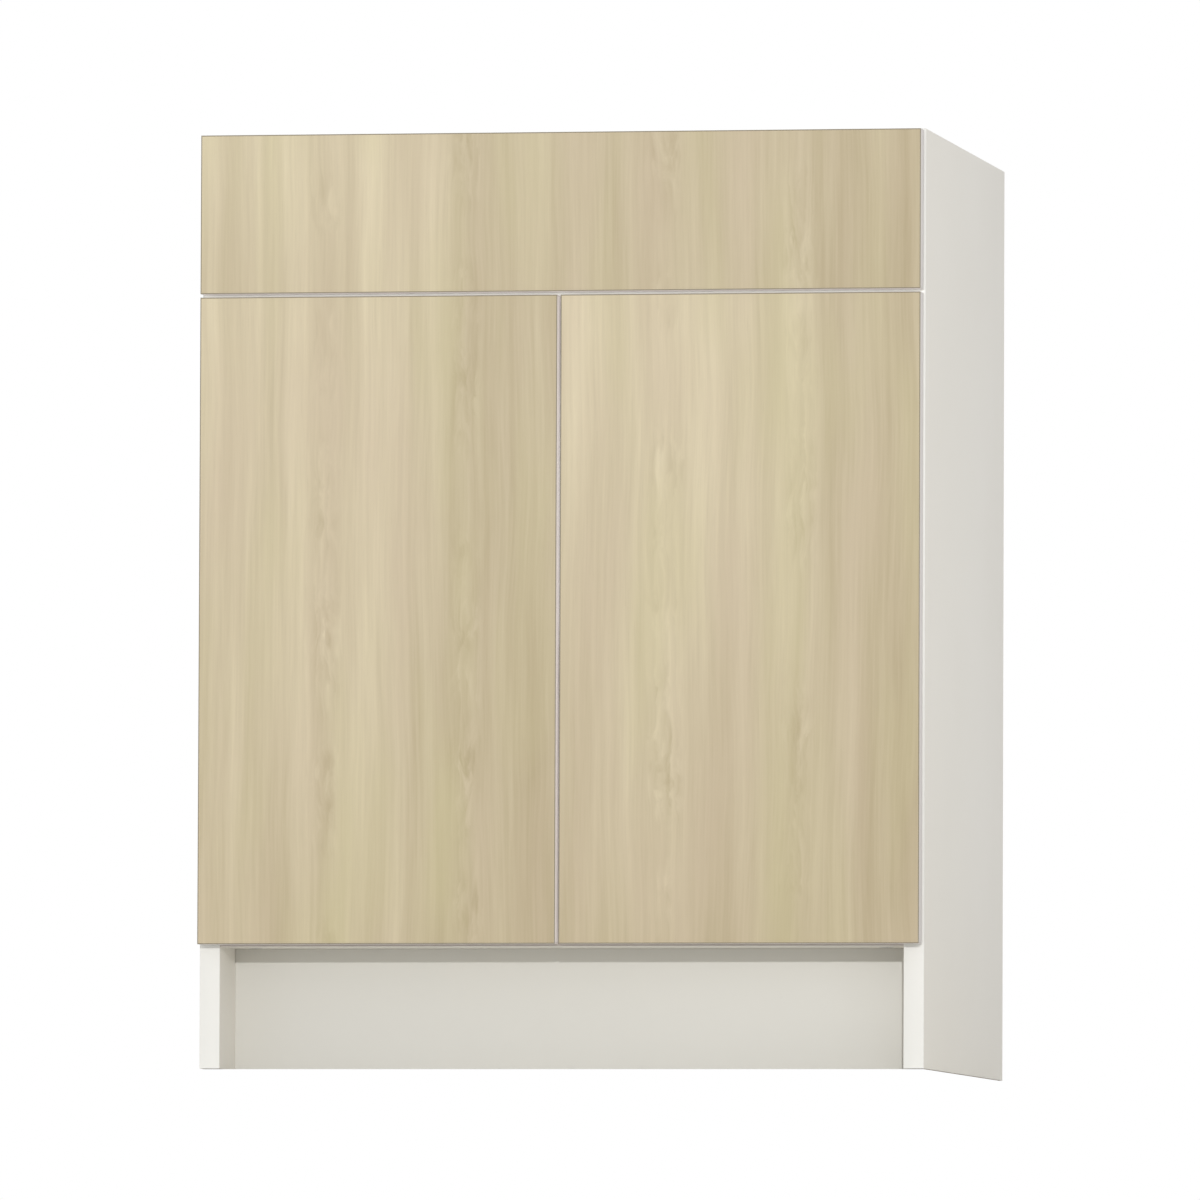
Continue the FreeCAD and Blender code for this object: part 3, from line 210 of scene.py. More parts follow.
class Shader:
    """The nodes of a material or of the world, round one surface shader."""

    def __init__(self, owner: "Material | bpy.types.World", surface: str = "Principled BSDF") -> None:
        """Switch on the owner's nodes and find its surface shader.

        Args:
            owner: The material or the world.
            surface: The surface shader's name.
        """
        owner.use_nodes = True
        self.tree = owner.node_tree
        self.surface = self.tree.nodes[surface]

    def add(self, kind: str, settings: Optional[dict] = None, inputs: Optional[dict] = None) -> Node:
        """Add any node.

        Args:
            kind: The node's type.
            settings: Its properties, set first; stops fill a colour ramp.
            inputs: Values or links of its sockets, by number, identifier or name.

        Returns:
            The node.
        """
        node = self.tree.nodes.new(kind)
        for name, setting in (settings or {}).items():
            if name == "stops":
                self.fill_ramp(node.color_ramp, setting)
            else:
                setattr(node, name, setting)
        for name, value in (inputs or {}).items():
            self.feed(pick(node.inputs, name), value)
        return Node(self, node)

    @staticmethod
    def fill_ramp(ramp: bpy.types.ColorRamp, stops: Sequence[tuple[float, Colour]]) -> None:
        """Fill a colour ramp.

        Args:
            ramp: The ramp, which has two stops to begin with.
            stops: Places from 0 to 1 and their colours.
        """
        while len(ramp.elements) < len(stops):
            ramp.elements.new(1.0)
        for element, (spot, colour) in zip(ramp.elements, stops):
            element.position = spot
            element.color = (*colour, 1)

    def feed(self, socket: NodeSocket, value: object) -> None:
        """Give a socket a value or a link.

        Args:
            socket: The input socket.
            value: A field, a number, a vector or a colour.
        """
        if isinstance(value, Field):
            self.tree.links.new(value.socket, socket)
        elif socket.type == "RGBA" and len(value) == 3:
            socket.default_value = (*value, 1)
        else:
            socket.default_value = value

    def place(self, scale: Sequence[float] = (1, 1, 1)) -> Field:
        """Return the piece's own coordinates, stretched along each axis."""
        inputs = {"Vector": self.add("ShaderNodeTexCoord").out("Object"), "Scale": scale}
        return self.add("ShaderNodeMapping", {}, inputs).out(0)

    def stretched(self, along: Axis, across_scale: float, along_scale: float) -> Field:
        """Return the piece's own coordinates, with a pattern drawn out along one axis.

        Args:
            along: The axis.
            across_scale: How much the pattern is stretched across it.
            along_scale: How much it is stretched along it.

        Returns:
            The coordinates.
        """
        scale = [across_scale] * 3
        scale[along.value] = along_scale
        return self.place(scale)

    def noise(self, place: Field, scale: float = 1.0, detail: float = 2.0, rough: float = 0.5,
              twist: float = 0.0) -> Field:
        """Return soft noise.

        Args:
            place: The coordinates.
            scale: Spots per metre.
            detail: How many finer layers it has.
            rough: How strong those are.
            twist: How much it curls.

        Returns:
            The noise, from 0 to 1.
        """
        inputs = {"Vector": place, "Scale": scale, "Detail": detail, "Roughness": rough, "Distortion": twist}
        return self.add("ShaderNodeTexNoise", {}, inputs).out(0)

    def blend(self, factor: Value, first: "Field | Colour", second: "Field | Colour") -> Field:
        """Mix two colours.

        Args:
            factor: How much of the second there is.
            first: The colour at 0.
            second: The colour at 1.

        Returns:
            The mixed colour.
        """
        inputs = {"Factor_Float": factor, "A_Color": first, "B_Color": second}
        return self.add("ShaderNodeMix", {"data_type": "RGBA"}, inputs).out("Result_Color")

    def split(self, place: Field) -> list[Field]:
        """Return a vector's three parts."""
        parts = self.add("ShaderNodeSeparateXYZ", {}, {0: place})
        return [parts.out(number) for number in range(3)]

    def set(self, **values: object) -> None:
        """Set the surface shader's sockets, with underscores for the spaces in their names."""
        for name, value in values.items():
            self.feed(self.surface.inputs[name.replace("_", " ")], value)

    def bump(self, height: Field, depth: float, strength: float) -> None:
        """Raise the surface by a height.

        Args:
            height: The height, from 0 to 1.
            depth: What 1 stands for, in metres.
            strength: How much of it is felt.
        """
        inputs = {"Height": height, "Distance": depth, "Strength": strength}
        self.set(Normal=self.add("ShaderNodeBump", {}, inputs).out(0))


# Finishes. A noise is given as its spots per metre, its detail and its roughness.


@dataclass(frozen=True)
class Finish:
    """What the surface of a piece is made of."""

    name: str

    def make(self) -> Material:
        """Make the material.

        Returns:
            The material.
        """
        material = bpy.data.materials.new(self.name)
        self.dress(Shader(material))
        return material

    def dress(self, shader: Shader) -> None:
        """Add the finish's nodes to a new material."""
        raise NotImplementedError


@dataclass(frozen=True)
class Layer:
    """Soft noise drawn out along the grain, and how much it weighs."""

    across: float
    along: float
    detail: float = 2.0
    rough: float = 0.5
    twist: float = 0.0
    shift: float = 0.0
    weight: float = 0.0

    def noise(self, shader: Shader, across: Value, up: Field) -> Field:
        """Return the layer's noise.

        Args:
            shader: The material.
            across: The place across the grain.
            up: The place along it.

        Returns:
            The noise, from 0 to 1.
        """
        inputs = {0: across * self.across + self.shift, 1: 0.0, 2: up * self.along}
        place = shader.add("ShaderNodeCombineXYZ", {}, inputs).out(0)
        return shader.noise(place, 1.0, self.detail, self.rough, self.twist)


@dataclass(frozen=True)
class Oak(Finish):
    """Pale oak laminate with an upright grain that runs on from front to front.

    Its layers are broad bands, streaks, fine lines and flecks. They swerve round curls that stand above each
    other in a few narrow stretches. Each front carries painted light: it is lightest at its top left corner,
    and painted shade deepens away from it.
    """

    # The lit top left corner of a front's painted light, and how far its painted shade spreads across and down.
    corner: tuple[float, float]
    painted_shade_span: tuple[float, float]
    light: Colour = screen(231, 218, 186)
    middle: Colour = screen(203, 189, 158)
    dark: Colour = screen(174, 158, 123)
    stops: tuple[float, float, float] = (0.88, 0.50, 0.12)
    # The wood's tone at the lit corner, and the painted shade that lowers it further away: its depth, curve and
    # limit.
    top_tone: float = 0.70
    painted_shade_depth: float = 0.38
    painted_shade_curve: float = 0.7
    painted_shade_limit: float = 1.1
    layers: tuple[Layer, ...] = (Layer(15, 0.9, weight=0.54), Layer(48, 2.0, 3.0, weight=0.44),
                                 Layer(170, 4.5, weight=0.26), Layer(480, 14, rough=0.6, weight=0.18))
    sway: Layer = Layer(7, 2.6, weight=0.022)
    stretches: tuple[float, ...] = (-0.222, -0.088, 0.102, 0.227)
    half_stretch: float = 0.020
    stretch_core: float = 0.2
    patches: Layer = Layer(7.0, 8.5, 1.0)
    patch_range: tuple[float, float] = (0.42, 0.60)
    curl: Layer = Layer(62, 21, 3.0, 0.55, 0.9, weight=0.035)
    curl_tone: float = 1.05
    curl_shade: float = 0.04
    tint: Layer = Layer(16, 2.6, shift=5)
    tint_range: tuple[float, float] = (0.50, 0.72)
    green: Colour = screen(200, 191, 147)
    green_share: float = 0.44
    pink: Colour = screen(205, 186, 162)
    pink_share: float = 0.38
    pores: Layer = Layer(1500, 38, 1.0, weight=0.16)
    pore_range: tuple[float, float] = (0.60, 0.78)
    roughness: float = 0.52
    fleck_gloss: float = 0.12
    fleck_height: float = 0.6
    pore_depth: float = 0.5
    relief: float = 0.06 * MM
    relief_share: float = 0.4

    def curls(self, shader: Shader, across: Field, up: Field) -> Field:
        """Return how strong the curls are, which is nothing outside their stretches.

        Args:
            shader: The material.
            across: The place across the grain.
            up: The place along it.

        Returns:
            The strength, from 0 to 1.
        """
        strength = 0.0
        core = self.half_stretch * self.stretch_core
        for number, middle in enumerate(self.stretches):
            near = 1 - (across - middle).size().limit(core, self.half_stretch)
            strength = near * self.patches.noise(shader, number, up).limit(*self.patch_range) + strength
        return strength

    def painted_light_distance(self, across: Field, up: Field) -> Field:
        """Return how far a place is from the lit corner of the painted light, which sets the painted shade.

        Args:
            across: The place across the grain.
            up: The place along it.

        Returns:
            The distance, where 1 is the whole reach of a front's painted shade.
        """
        right = (across - self.corner[0]).limit(0, self.painted_shade_span[0])
        down = (self.corner[1] - up).limit(0, self.painted_shade_span[1])
        return (right * right + down * down).power(0.5).limit(0.0, self.painted_shade_limit)

    def dress(self, shader: Shader) -> None:
        """Add the oak's nodes to a new material.

        Args:
            shader: The material.
        """
        across, _, up = shader.split(shader.place())
        bent = across + (self.sway.noise(shader, across, up) - 0.5) * self.sway.weight
        strength = self.curls(shader, bent, up)
        curl = self.curl.noise(shader, bent, up) - 0.5
        bent = bent + strength * curl * self.curl.weight
        # Painted light and painted shade: each front is lightest at its lit corner and darker further from it.
        tone = self.top_tone - self.painted_light_distance(across, up).power(self.painted_shade_curve) * self.painted_shade_depth
        grain = [layer.noise(shader, bent, up) - 0.5 for layer in self.layers]
        for layer, value in zip(self.layers, grain):
            tone = tone + value * layer.weight
        tone = tone + strength * curl * self.curl_tone - strength * self.curl_shade
        stops = sorted(zip(self.stops, (self.light, self.middle, self.dark)))
        colour = shader.add("ShaderNodeValToRGB", {"stops": stops}, {0: tone}).out(0)
        tint = self.tint.noise(shader, bent, up)
        colour = shader.blend(tint.limit(*self.tint_range) * self.green_share, colour, self.green)
        colour = shader.blend((1 - tint).limit(*self.tint_range) * self.pink_share, colour, self.pink)
        pores = self.pores.noise(shader, across, up).limit(*self.pore_range)
        flecks = grain[-1]
        shader.set(Base_Color=shader.blend(pores * self.pores.weight, colour, self.dark),
                   Roughness=self.roughness + flecks * self.fleck_gloss)
        shader.bump(flecks * self.fleck_height - pores * self.pore_depth, self.relief, self.relief_share)


@dataclass(frozen=True)
class Coated(Finish):
    """Smooth coated board or edge band, with a faint grain in its gloss and a little grime of use."""

    colour: Colour
    shade: Colour
    roughness: float = 0.42
    grime: tuple[float, float, float] = (3.5, 3.0, 0.6)
    grime_range: tuple[float, float] = (0.3, 0.9)
    grime_share: float = 0.4
    grime_gloss: float = 0.08
    peel: tuple[float, float] = (620, 1.0)
    peel_gloss: float = 0.05
    dimple: float = 0.03 * MM
    dimple_share: float = 0.5

    def dress(self, shader: Shader) -> None:
        """Add the coating's nodes to a new material.

        Args:
            shader: The material.
        """
        cloud = shader.noise(shader.place(), *self.grime).limit(*self.grime_range)
        peel = shader.noise(shader.place(), *self.peel)
        shader.set(Base_Color=shader.blend(cloud * self.grime_share, self.colour, self.shade),
                   Roughness=self.roughness + cloud * self.grime_gloss + peel * self.peel_gloss)
        shader.bump(peel, self.dimple, self.dimple_share)


@dataclass(frozen=True)
class Chipboard(Finish):
    """Pressed chips or fibres, as the cut edges of the boards show."""

    light: Colour = screen(214, 190, 148)
    dark: Colour = screen(150, 116, 78)
    chips_per_metre: float = 520.0
    dust: tuple[float, float] = (900, 2.0)
    dust_share: float = 0.25
    dust_height: float = 0.4
    roughness: float = 0.85
    relief: float = 0.25 * MM
    relief_share: float = 0.7

    def dress(self, shader: Shader) -> None:
        """Add the chips' nodes to a new material.

        Args:
            shader: The material.
        """
        inputs = {"Vector": shader.place(), "Scale": self.chips_per_metre, "Randomness": 1.0}
        chips = shader.add("ShaderNodeTexVoronoi", {"feature": "F1"}, inputs)
        tone = shader.add("ShaderNodeSeparateColor", {}, {0: chips.out("Color")}).out(0)
        dust = shader.noise(shader.place(), *self.dust)
        mixed = tone * (1 - self.dust_share) + dust * self.dust_share
        shader.set(Base_Color=shader.blend(mixed, self.light, self.dark), Roughness=self.roughness)
        height = tone * (1 - self.dust_height) + dust * self.dust_height
        shader.bump(height, self.relief, self.relief_share)


@dataclass(frozen=True)
class RawWood(Finish):
    """Plain sawn wood, with bands and fibres along its grain."""

    light: Colour
    dark: Colour
    along: Axis = Axis.X
    bands: tuple[float, float] = (45.0, 2.5)
    band_detail: float = 3.0
    band_range: tuple[float, float] = (0.25, 0.75)
    fibres: tuple[float, float] = (520.0, 14.0)
    fibre_share: float = 0.2
    roughness: float = 0.72
    relief: float = 0.15 * MM
    relief_share: float = 0.5

    def dress(self, shader: Shader) -> None:
        """Add the wood's nodes to a new material.

        Args:
            shader: The material.
        """
        bands = shader.noise(shader.stretched(self.along, *self.bands), 1.0, self.band_detail)
        fibres = shader.noise(shader.stretched(self.along, *self.fibres))
        tone = bands.limit(*self.band_range) * (1 - self.fibre_share) + fibres * self.fibre_share
        shader.set(Base_Color=shader.blend(tone, self.light, self.dark), Roughness=self.roughness)
        shader.bump(fibres, self.relief, self.relief_share)


@dataclass(frozen=True)
class Metal(Finish):
    """Plated or galvanised steel, drawn along one axis, with a little dulling."""

    colour: Colour
    roughness: float = 0.30
    grain: float = 0.10
    along: Axis = Axis.Y
    lines: tuple[float, float] = (900.0, 12.0)
    bloom: tuple[float, float, float] = (55, 3.0, 0.6)
    bloom_range: tuple[float, float] = (0.3, 0.75)
    bloom_share: float = 0.6
    bloom_gloss: float = 0.10
    dulling: float = 0.72
    relief: float = 0.02 * MM
    relief_share: float = 0.5

    def dress(self, shader: Shader) -> None:
        """Add the metal's nodes to a new material.

        Args:
            shader: The material.
        """
        lines = shader.noise(shader.stretched(self.along, *self.lines))
        bloom = shader.noise(shader.place(), *self.bloom)
        dull = tuple(part * self.dulling for part in self.colour)
        dulled = bloom.limit(*self.bloom_range) * self.bloom_share
        shader.set(Base_Color=shader.blend(dulled, self.colour, dull), Metallic=1.0,
                   Roughness=self.roughness + lines * self.grain + bloom * self.bloom_gloss)
        shader.bump(lines, self.relief, self.relief_share)


@dataclass(frozen=True)
class Plastic(Finish):
    """Moulded plastic or soft rubber, with a fine spark-eroded grain."""

    colour: Colour
    roughness: float = 0.5
    grain: float = 0.05 * MM
    grain_share: float = 0.6
    specks: tuple[float, float] = (1400, 2.0)
    speck_range: tuple[float, float] = (0.3, 0.8)
    speck_gloss: float = 0.12
    darkening: float = 0.86

    def dress(self, shader: Shader) -> None:
        """Add the plastic's nodes to a new material.

        Args:
            shader: The material.
        """
        speck = shader.noise(shader.place(), *self.specks)
        shade = tuple(part * self.darkening for part in self.colour)
        shader.set(Base_Color=shader.blend(speck.limit(*self.speck_range), self.colour, shade),
                   Roughness=self.roughness + speck * self.speck_gloss)
        shader.bump(speck, self.grain, self.grain_share)


class Paints:
    """All the finishes of the cabinet, made once."""

    def __init__(self) -> None:
        """Make every material."""
        # Each front's oak has its own lit corner and span for the painted light and painted shade over that front.
        self.top_oak = Oak("oak_of_drawer_front", (-0.341, 0.875), (0.62, 0.42)).make()
        self.left_oak = Oak("oak_of_left_door", (-0.341, 0.722), (0.42, 0.70)).make()
        self.right_oak = Oak("oak_of_right_door", (0.002, 0.722), (0.42, 0.62)).make()
        # The rim colour is painted shade: a dark line on the bands' front faces round each front.
        self.rim = Coated("edge_rim", screen(142, 131, 108), screen(132, 121, 98)).make()
        self.band = Coated("edge_band", screen(221, 215, 211), screen(215, 208, 203), 0.38).make()
        self.case_band = Coated("case_edge_band", screen(242, 241, 236), screen(238, 236, 230), 0.36).make()
        # This darker band colour is painted shade for the bottom panel's band under the doors.
        self.painted_shade_band = Coated("bottom_edge_band", screen(206, 197, 190), screen(200, 190, 182), 0.38).make()
        self.white = Coated("white_coating", screen(236, 232, 223), screen(232, 228, 218)).make()
        self.kick = Coated("kickboard_coating", screen(223, 221, 214), screen(220, 218, 211)).make()
        self.liner = Coated("drawer_coating", screen(232, 228, 218), screen(226, 221, 210), 0.45).make()
        self.chip = Chipboard("chipboard").make()
        self.fibre = Chipboard("fibreboard", screen(166, 128, 88), screen(140, 104, 68)).make()
        self.pine = RawWood("pine", screen(222, 190, 140), screen(196, 156, 104)).make()
        self.beech = RawWood("beech", screen(216, 178, 134), screen(190, 148, 104)).make()
        self.zinc = Metal("zinc_plate", screen(196, 199, 203), 0.34, 0.14).make()
        self.nickel = Metal("nickel_plate", screen(206, 203, 196), 0.22, 0.08, Axis.Z).make()
        self.ball_steel = Metal("polished_balls", screen(214, 215, 217), 0.12, 0.02).make()
        self.grey = Plastic("grey_plastic", screen(170, 172, 173)).make()
        self.rubber = Plastic("clear_rubber", screen(216, 217, 214), 0.30, 0.02 * MM).make()


# Mesh work


@dataclass
class Fold:
    """Which faces of a piece take which finish: those that a test picks, by their normal and their middle."""

    material: Material
    test: Callable[[Vector, Vector], bool]


def shape_angle(edge: BMEdge) -> float:
    """Return the angle over an edge, or a right angle where it isn't shared by two faces."""
    return edge.calc_face_angle(math.pi / 2)


def widths(edge: BMEdge) -> list[float]:
    """Return how far each of an edge's faces reaches away from it."""
    return [face.calc_area() / edge.calc_length() for face in edge.link_faces]


def edges_at(corners: Iterable[BMVert]) -> list[BMEdge]:
    """List the edges that end at some corners, each once and in a steady order."""
    return list(dict.fromkeys(edge for corner in corners for edge in corner.link_edges))


def bevel(mesh: BMesh, edges: Sequence[BMEdge], size: float, segments: int, kind: str = "OFFSET") -> None:
    """Round chosen edges.

    Args:
        mesh: The mesh.
        edges: The edges.
        size: The rounding's width, in the unit of its kind.
        segments: How many faces it gets.
        kind: OFFSET for metres, or PERCENT for hundredths of the next edges.
    """
    bmesh.ops.bevel(mesh, geom=edges, offset=size, offset_type=kind, segments=segments, profile=0.5,
                    affect="EDGES", clamp_overlap=True, material=-1)


def round_edges(mesh: BMesh, size: float, segments: int, longer: float, least: float = 60.0) -> None:
    """Round the edges that turn sharply.

    Args:
        mesh: The mesh.
        size: The rounding's width, in metres.
        segments: How many faces it gets.
        longer: The shortest edge that is rounded, in metres.
        least: The smallest angle over an edge that is rounded, in degrees.
    """
    sharp = [edge for edge in mesh.edges
             if shape_angle(edge) > math.radians(least) and edge.calc_length() > longer]
    bevel(mesh, sharp, size, segments)


def flood(start: "BMFace | BMVert", near: Callable[..., set]) -> set:
    """Collect what joins on to a start, step by step.

    Args:
        start: A face or a corner.
        near: What tells the neighbours of one.

    Returns:
        All that was reached, and the start.
    """
    found = {start}
    todo = [start]
    while todo:
        fresh = near(todo.pop()) - found
        found |= fresh
        todo.extend(fresh)
    return found


def flat_group(start: BMFace) -> set[BMFace]:
    """Find the faces that join on to a face in its own plane.

    Args:
        start: The face.

    Returns:
        The faces, and the first one.
    """
    spot = start.verts[0].co

    def near(part: BMFace) -> set[BMFace]:
        """Return a face's neighbours in the plane."""
        around = {face for edge in part.edges for face in edge.link_faces}
        return {face for face in around
                if all(abs((corner.co - spot).dot(start.normal)) < SAME_PLANE for corner in face.verts)}

    return flood(start, near)


def fill_anew(mesh: BMesh) -> None:
    """Fill the flat faces again, because rounding crosses the corners of those with holes.

    Args:
        mesh: The mesh.
    """
    groups = []
    seen = set()
    for face in sorted(mesh.faces, key=lambda part: -part.calc_area()):
        if len(face.verts) > 4 and face not in seen:
            group = flat_group(face) - seen
            seen |= group
            groups.append((group, face.normal.copy()))
    for group, normal in groups:
        edges = [edge for edge in mesh.edges if sum(face in group for face in edge.link_faces) == 1]
        old = [face for face in mesh.faces if face in group]
        bmesh.ops.delete(mesh, geom=old, context="FACES_KEEP_BOUNDARY")
        bmesh.ops.triangle_fill(mesh, use_beauty=True, use_dissolve=False, edges=edges, normal=normal)
    bmesh.ops.recalc_face_normals(mesh, faces=mesh.faces)
    bmesh.ops.dissolve_limit(mesh, angle_limit=FLAT, verts=mesh.verts, edges=mesh.edges)


def round_bars(mesh: BMesh, widest: float, share: float = ROUND_SHARE) -> None:
    """Make the many-sided bars and bores of a mesh round.

    Args:
        mesh: The mesh.
        widest: The width that their flat sides stay under, in metres.
        share: How much of a side each corner takes, in hundredths.
    """
    corners = [edge for edge in mesh.edges
               if len(edge.link_faces) == 2 and edge.calc_length() > LEAST_EDGE
               and ROUND_FROM < edge.calc_face_angle() < ROUND_TO and max(widths(edge)) < widest]
    bevel(mesh, corners, share, ROUND_STEPS, "PERCENT")
    fill_anew(mesh)


def scaled(shape: Outline, radius: float, start: float, depth: float) -> list[tuple[float, float]]:
    """Scale an outline of shares: radii by a radius, and heights by a depth from a start."""
    return [(radius * wide, start + depth * high) for wide, high in shape]


def lathe(mesh: BMesh, profile: Outline, place: Matrix, steps: int = 24) -> None:
    """Turn a profile about Z.

    Args:
        mesh: The mesh.
        profile: Radii and heights, from one end of the axis to the other.
        place: Where the turned piece goes.
        steps: How many faces go round.
    """
    before = set(mesh.verts)
    corners = [mesh.verts.new((radius, 0, height)) for radius, height in profile]
    edges = [mesh.edges.new(pair) for pair in zip(corners, corners[1:])]
    bmesh.ops.spin(mesh, geom=corners + edges, cent=(0, 0, 0), axis=(0, 0, 1), angle=2 * math.pi,
                   steps=steps, use_merge=True)
    new = [corner for corner in mesh.verts if corner not in before]
    bmesh.ops.transform(mesh, matrix=place, verts=new)


def close(mesh: BMesh) -> None:
    """Merge the seams and poles of turned shapes, and point their faces outwards."""
    bmesh.ops.remove_doubles(mesh, verts=mesh.verts, dist=SAME_SPOT)
    bmesh.ops.recalc_face_normals(mesh, faces=mesh.faces)


def copy_of(node: str) -> BMesh:
    """Copy a CAD node's mesh, merge its loose triangles and join those that lie in one plane.

    Args:
        node: The node's name.

    Returns:
        The merged copy.
    """
    mesh = bmesh.new()
    mesh.from_mesh(frame["nodes"][node].data)
    bmesh.ops.remove_doubles(mesh, verts=mesh.verts, dist=SAME_SPOT)
    bmesh.ops.dissolve_limit(mesh, angle_limit=FLAT, verts=mesh.verts, edges=mesh.edges)
    return mesh


def islands(mesh: BMesh) -> list[list[BMVert]]:
    """List the corners of each separate solid of a mesh, in a steady order.

    Args:
        mesh: The mesh.

    Returns:
        The corners of one solid after another.
    """
    seen = set()
    found = []
    for start in mesh.verts:
        if start not in seen:
            solid = flood(start, lambda corner: {edge.other_vert(corner) for edge in corner.link_edges})
            seen |= solid
            found.append([corner for corner in mesh.verts if corner in solid])
    return found


def bounds_of(spots: Sequence[Vector]) -> tuple[Vector, Vector]:
    """Return the lowest and the highest corner of the box round some spots."""
    low, high = ([end(spot[way] for spot in spots) for way in range(3)] for end in (min, max))
    return Vector(low), Vector(high)


@dataclass
class Bar:
    """A bar-shaped solid, such as a screw.

    Its place has Z along it, pointing out of its thick end, its head.
    """

    place: Matrix
    length: float
    head: float
    shank: float
    step: float

    @classmethod
    def measure(cls, corners: Sequence[Vector]) -> "Bar":
        """Measure a bar.

        Args:
            corners: The corners of its solid.

        Returns:
            Its place, its length, the radii of its thick and its thin end, and how long the thick end is.
        """
        low, high = bounds_of(corners)
        size = high - low
        along = min(range(3), key=lambda way: abs(size[way - 1] - size[way - 2]))
        middle = (low + high) / 2
        near = 0.01 * MM

        def radius(corner: Vector) -> float:
            """Measure how far a corner is from the bar's middle line.

            Args:
                corner: The corner.

            Returns:
                The distance.
            """
            gap = corner - middle
            gap[along] = 0
            return gap.length

        def reach(end: float) -> float:
            """Return the bar's radius at one end."""
            return max(radius(corner) for corner in corners if abs(corner[along] - end) < near)

        thin, thick = sorted((low[along], high[along]), key=reach)
        wide = [corner[along] for corner in corners if radius(corner) > reach(thick) - near]
        out = Vector()
        out[along] = math.copysign(1, thick - thin)
        spot = middle.copy()
        spot[along] = thick
        place = Matrix.Translation(spot) @ out.to_track_quat("Z", "Y").to_matrix().to_4x4()
        return cls(place, size[along], reach(thick), reach(thin), max(wide) - min(wide))


def bars(node: str) -> list[Bar]:
    """Measure the bars of a CAD node.

    Args:
        node: The node's name.

    Returns:
        Its bars.
    """
    mesh = copy_of(node)
    found = [Bar.measure([corner.co for corner in solid]) for solid in islands(mesh)]
    mesh.free()
    return found


def keep(mesh: BMesh, name: str, node: str, material: Material, folds: Sequence[Fold] = ()) -> None:
    """Turn a mesh into a finished piece that stands for a CAD node.

    Args:
        mesh: The mesh, in place.
        name: The piece's name.
        node: The CAD node, whose body it rides on and which the piece replaces.
        material: Its finish.
        folds: Other finishes, for the faces that they pick.
    """
    for edge in mesh.edges:
        edge.smooth = shape_angle(edge) < SMOOTH
    for face in mesh.faces:
        face.smooth = True
        face.material_index = 0
        middle = face.calc_center_median()
        for number, fold in enumerate(folds, 1):
            if fold.test(face.normal, middle):
                face.material_index = number
    data = bpy.data.meshes.new(name)
    mesh.to_mesh(data)
    mesh.free()
    for finish in (material, *(fold.material for fold in folds)):
        data.materials.append(finish)
    piece = bpy.data.objects.new(name, data)
    bpy.context.scene.collection.objects.link(piece)
    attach(piece, BODY_OF[node])
    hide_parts(node)
    LOG.info("%s: %d faces on %s", name, len(data.polygons), BODY_OF[node])


def keep_turned(node: str, name: str, material: Material, profile: Callable[[Bar], Outline]) -> None:
    """Turn every bar of a CAD node, and keep them as one piece.

    Args:
        node: The CAD node.
        name: The piece's name.
        material: Its finish.
        profile: What lists a bar's radii and heights.
    """
    mesh = bmesh.new()
    for bar in bars(node):
        lathe(mesh, profile(bar), bar.place)
    close(mesh)
    keep(mesh, name, node, material)


def keep_rounded(node: str, name: str, material: Material, widest: float, folds: Sequence[Fold] = (),
                 share: float = ROUND_SHARE) -> None:
    """Keep a CAD node's shape, round where it is many-sided.

    Args:
        node: The CAD node.
        name: The piece's name.
        material: Its finish.
        widest: The width that its flat sides stay under.
        folds: Other finishes, for the faces that they pick.
        share: How much of a side each corner takes, in hundredths.
    """
    mesh = copy_of(node)
    round_bars(mesh, widest, share)
    keep(mesh, name, node, material, folds)


# The big pieces


@dataclass
class Boards:
    """The flat boards: each is its CAD board with softened edges and the right finish on every face."""

    paints: Paints
    arris: float = 0.35 * MM
    bore_side: float = 5.0 * MM
    longer: float = 20.0 * MM

    def board(self, node: str, material: Material, folds: Sequence[Fold] = ()) -> None:
        """Make one board.

        Args:
            node: The CAD board.
            material: The finish of its faces.
            folds: The finish of its cut edges.
        """
        mesh = copy_of(node)
        round_bars(mesh, self.bore_side)
        round_edges(mesh, self.arris, 2, self.longer)
        keep(mesh, f"{node}_board", node, material, folds)

    def build(self) -> None:
        """Make the boards of the carcass and of the drawer's box."""
        paints = self.paints
        raw_back = Fold(paints.chip, lambda normal, _: normal.y > FACING)
        raw_ends = Fold(paints.chip, lambda normal, _: abs(normal.z) > FACING)
        for node in ("side_panel_left", "side_panel_right"):
            self.board(node, paints.white, [raw_back, raw_ends])
        for node in ("bottom_panel", "front_stretcher", "rear_stretcher", "divider_rail", "shelf"):
            self.board(node, paints.white, [raw_back])
        for node in ("hanging_rail", "lower_back_rail"):
            self.board(node, paints.white, [raw_ends])
        self.board("kickboard", paints.kick, [raw_ends])
        self.board("back_panel", paints.white, [Fold(paints.fibre, lambda normal, _: normal.y > NOT_FRONT)])
        for node in ("drawer_side_left", "drawer_side_right", "drawer_box_front", "drawer_back_left",
                     "drawer_back_right", "notch_side_left", "notch_side_right", "notch_front",
                     "drawer_bottom"):
            self.board(node, paints.liner)
        self.board("kick_blocks", paints.pine)


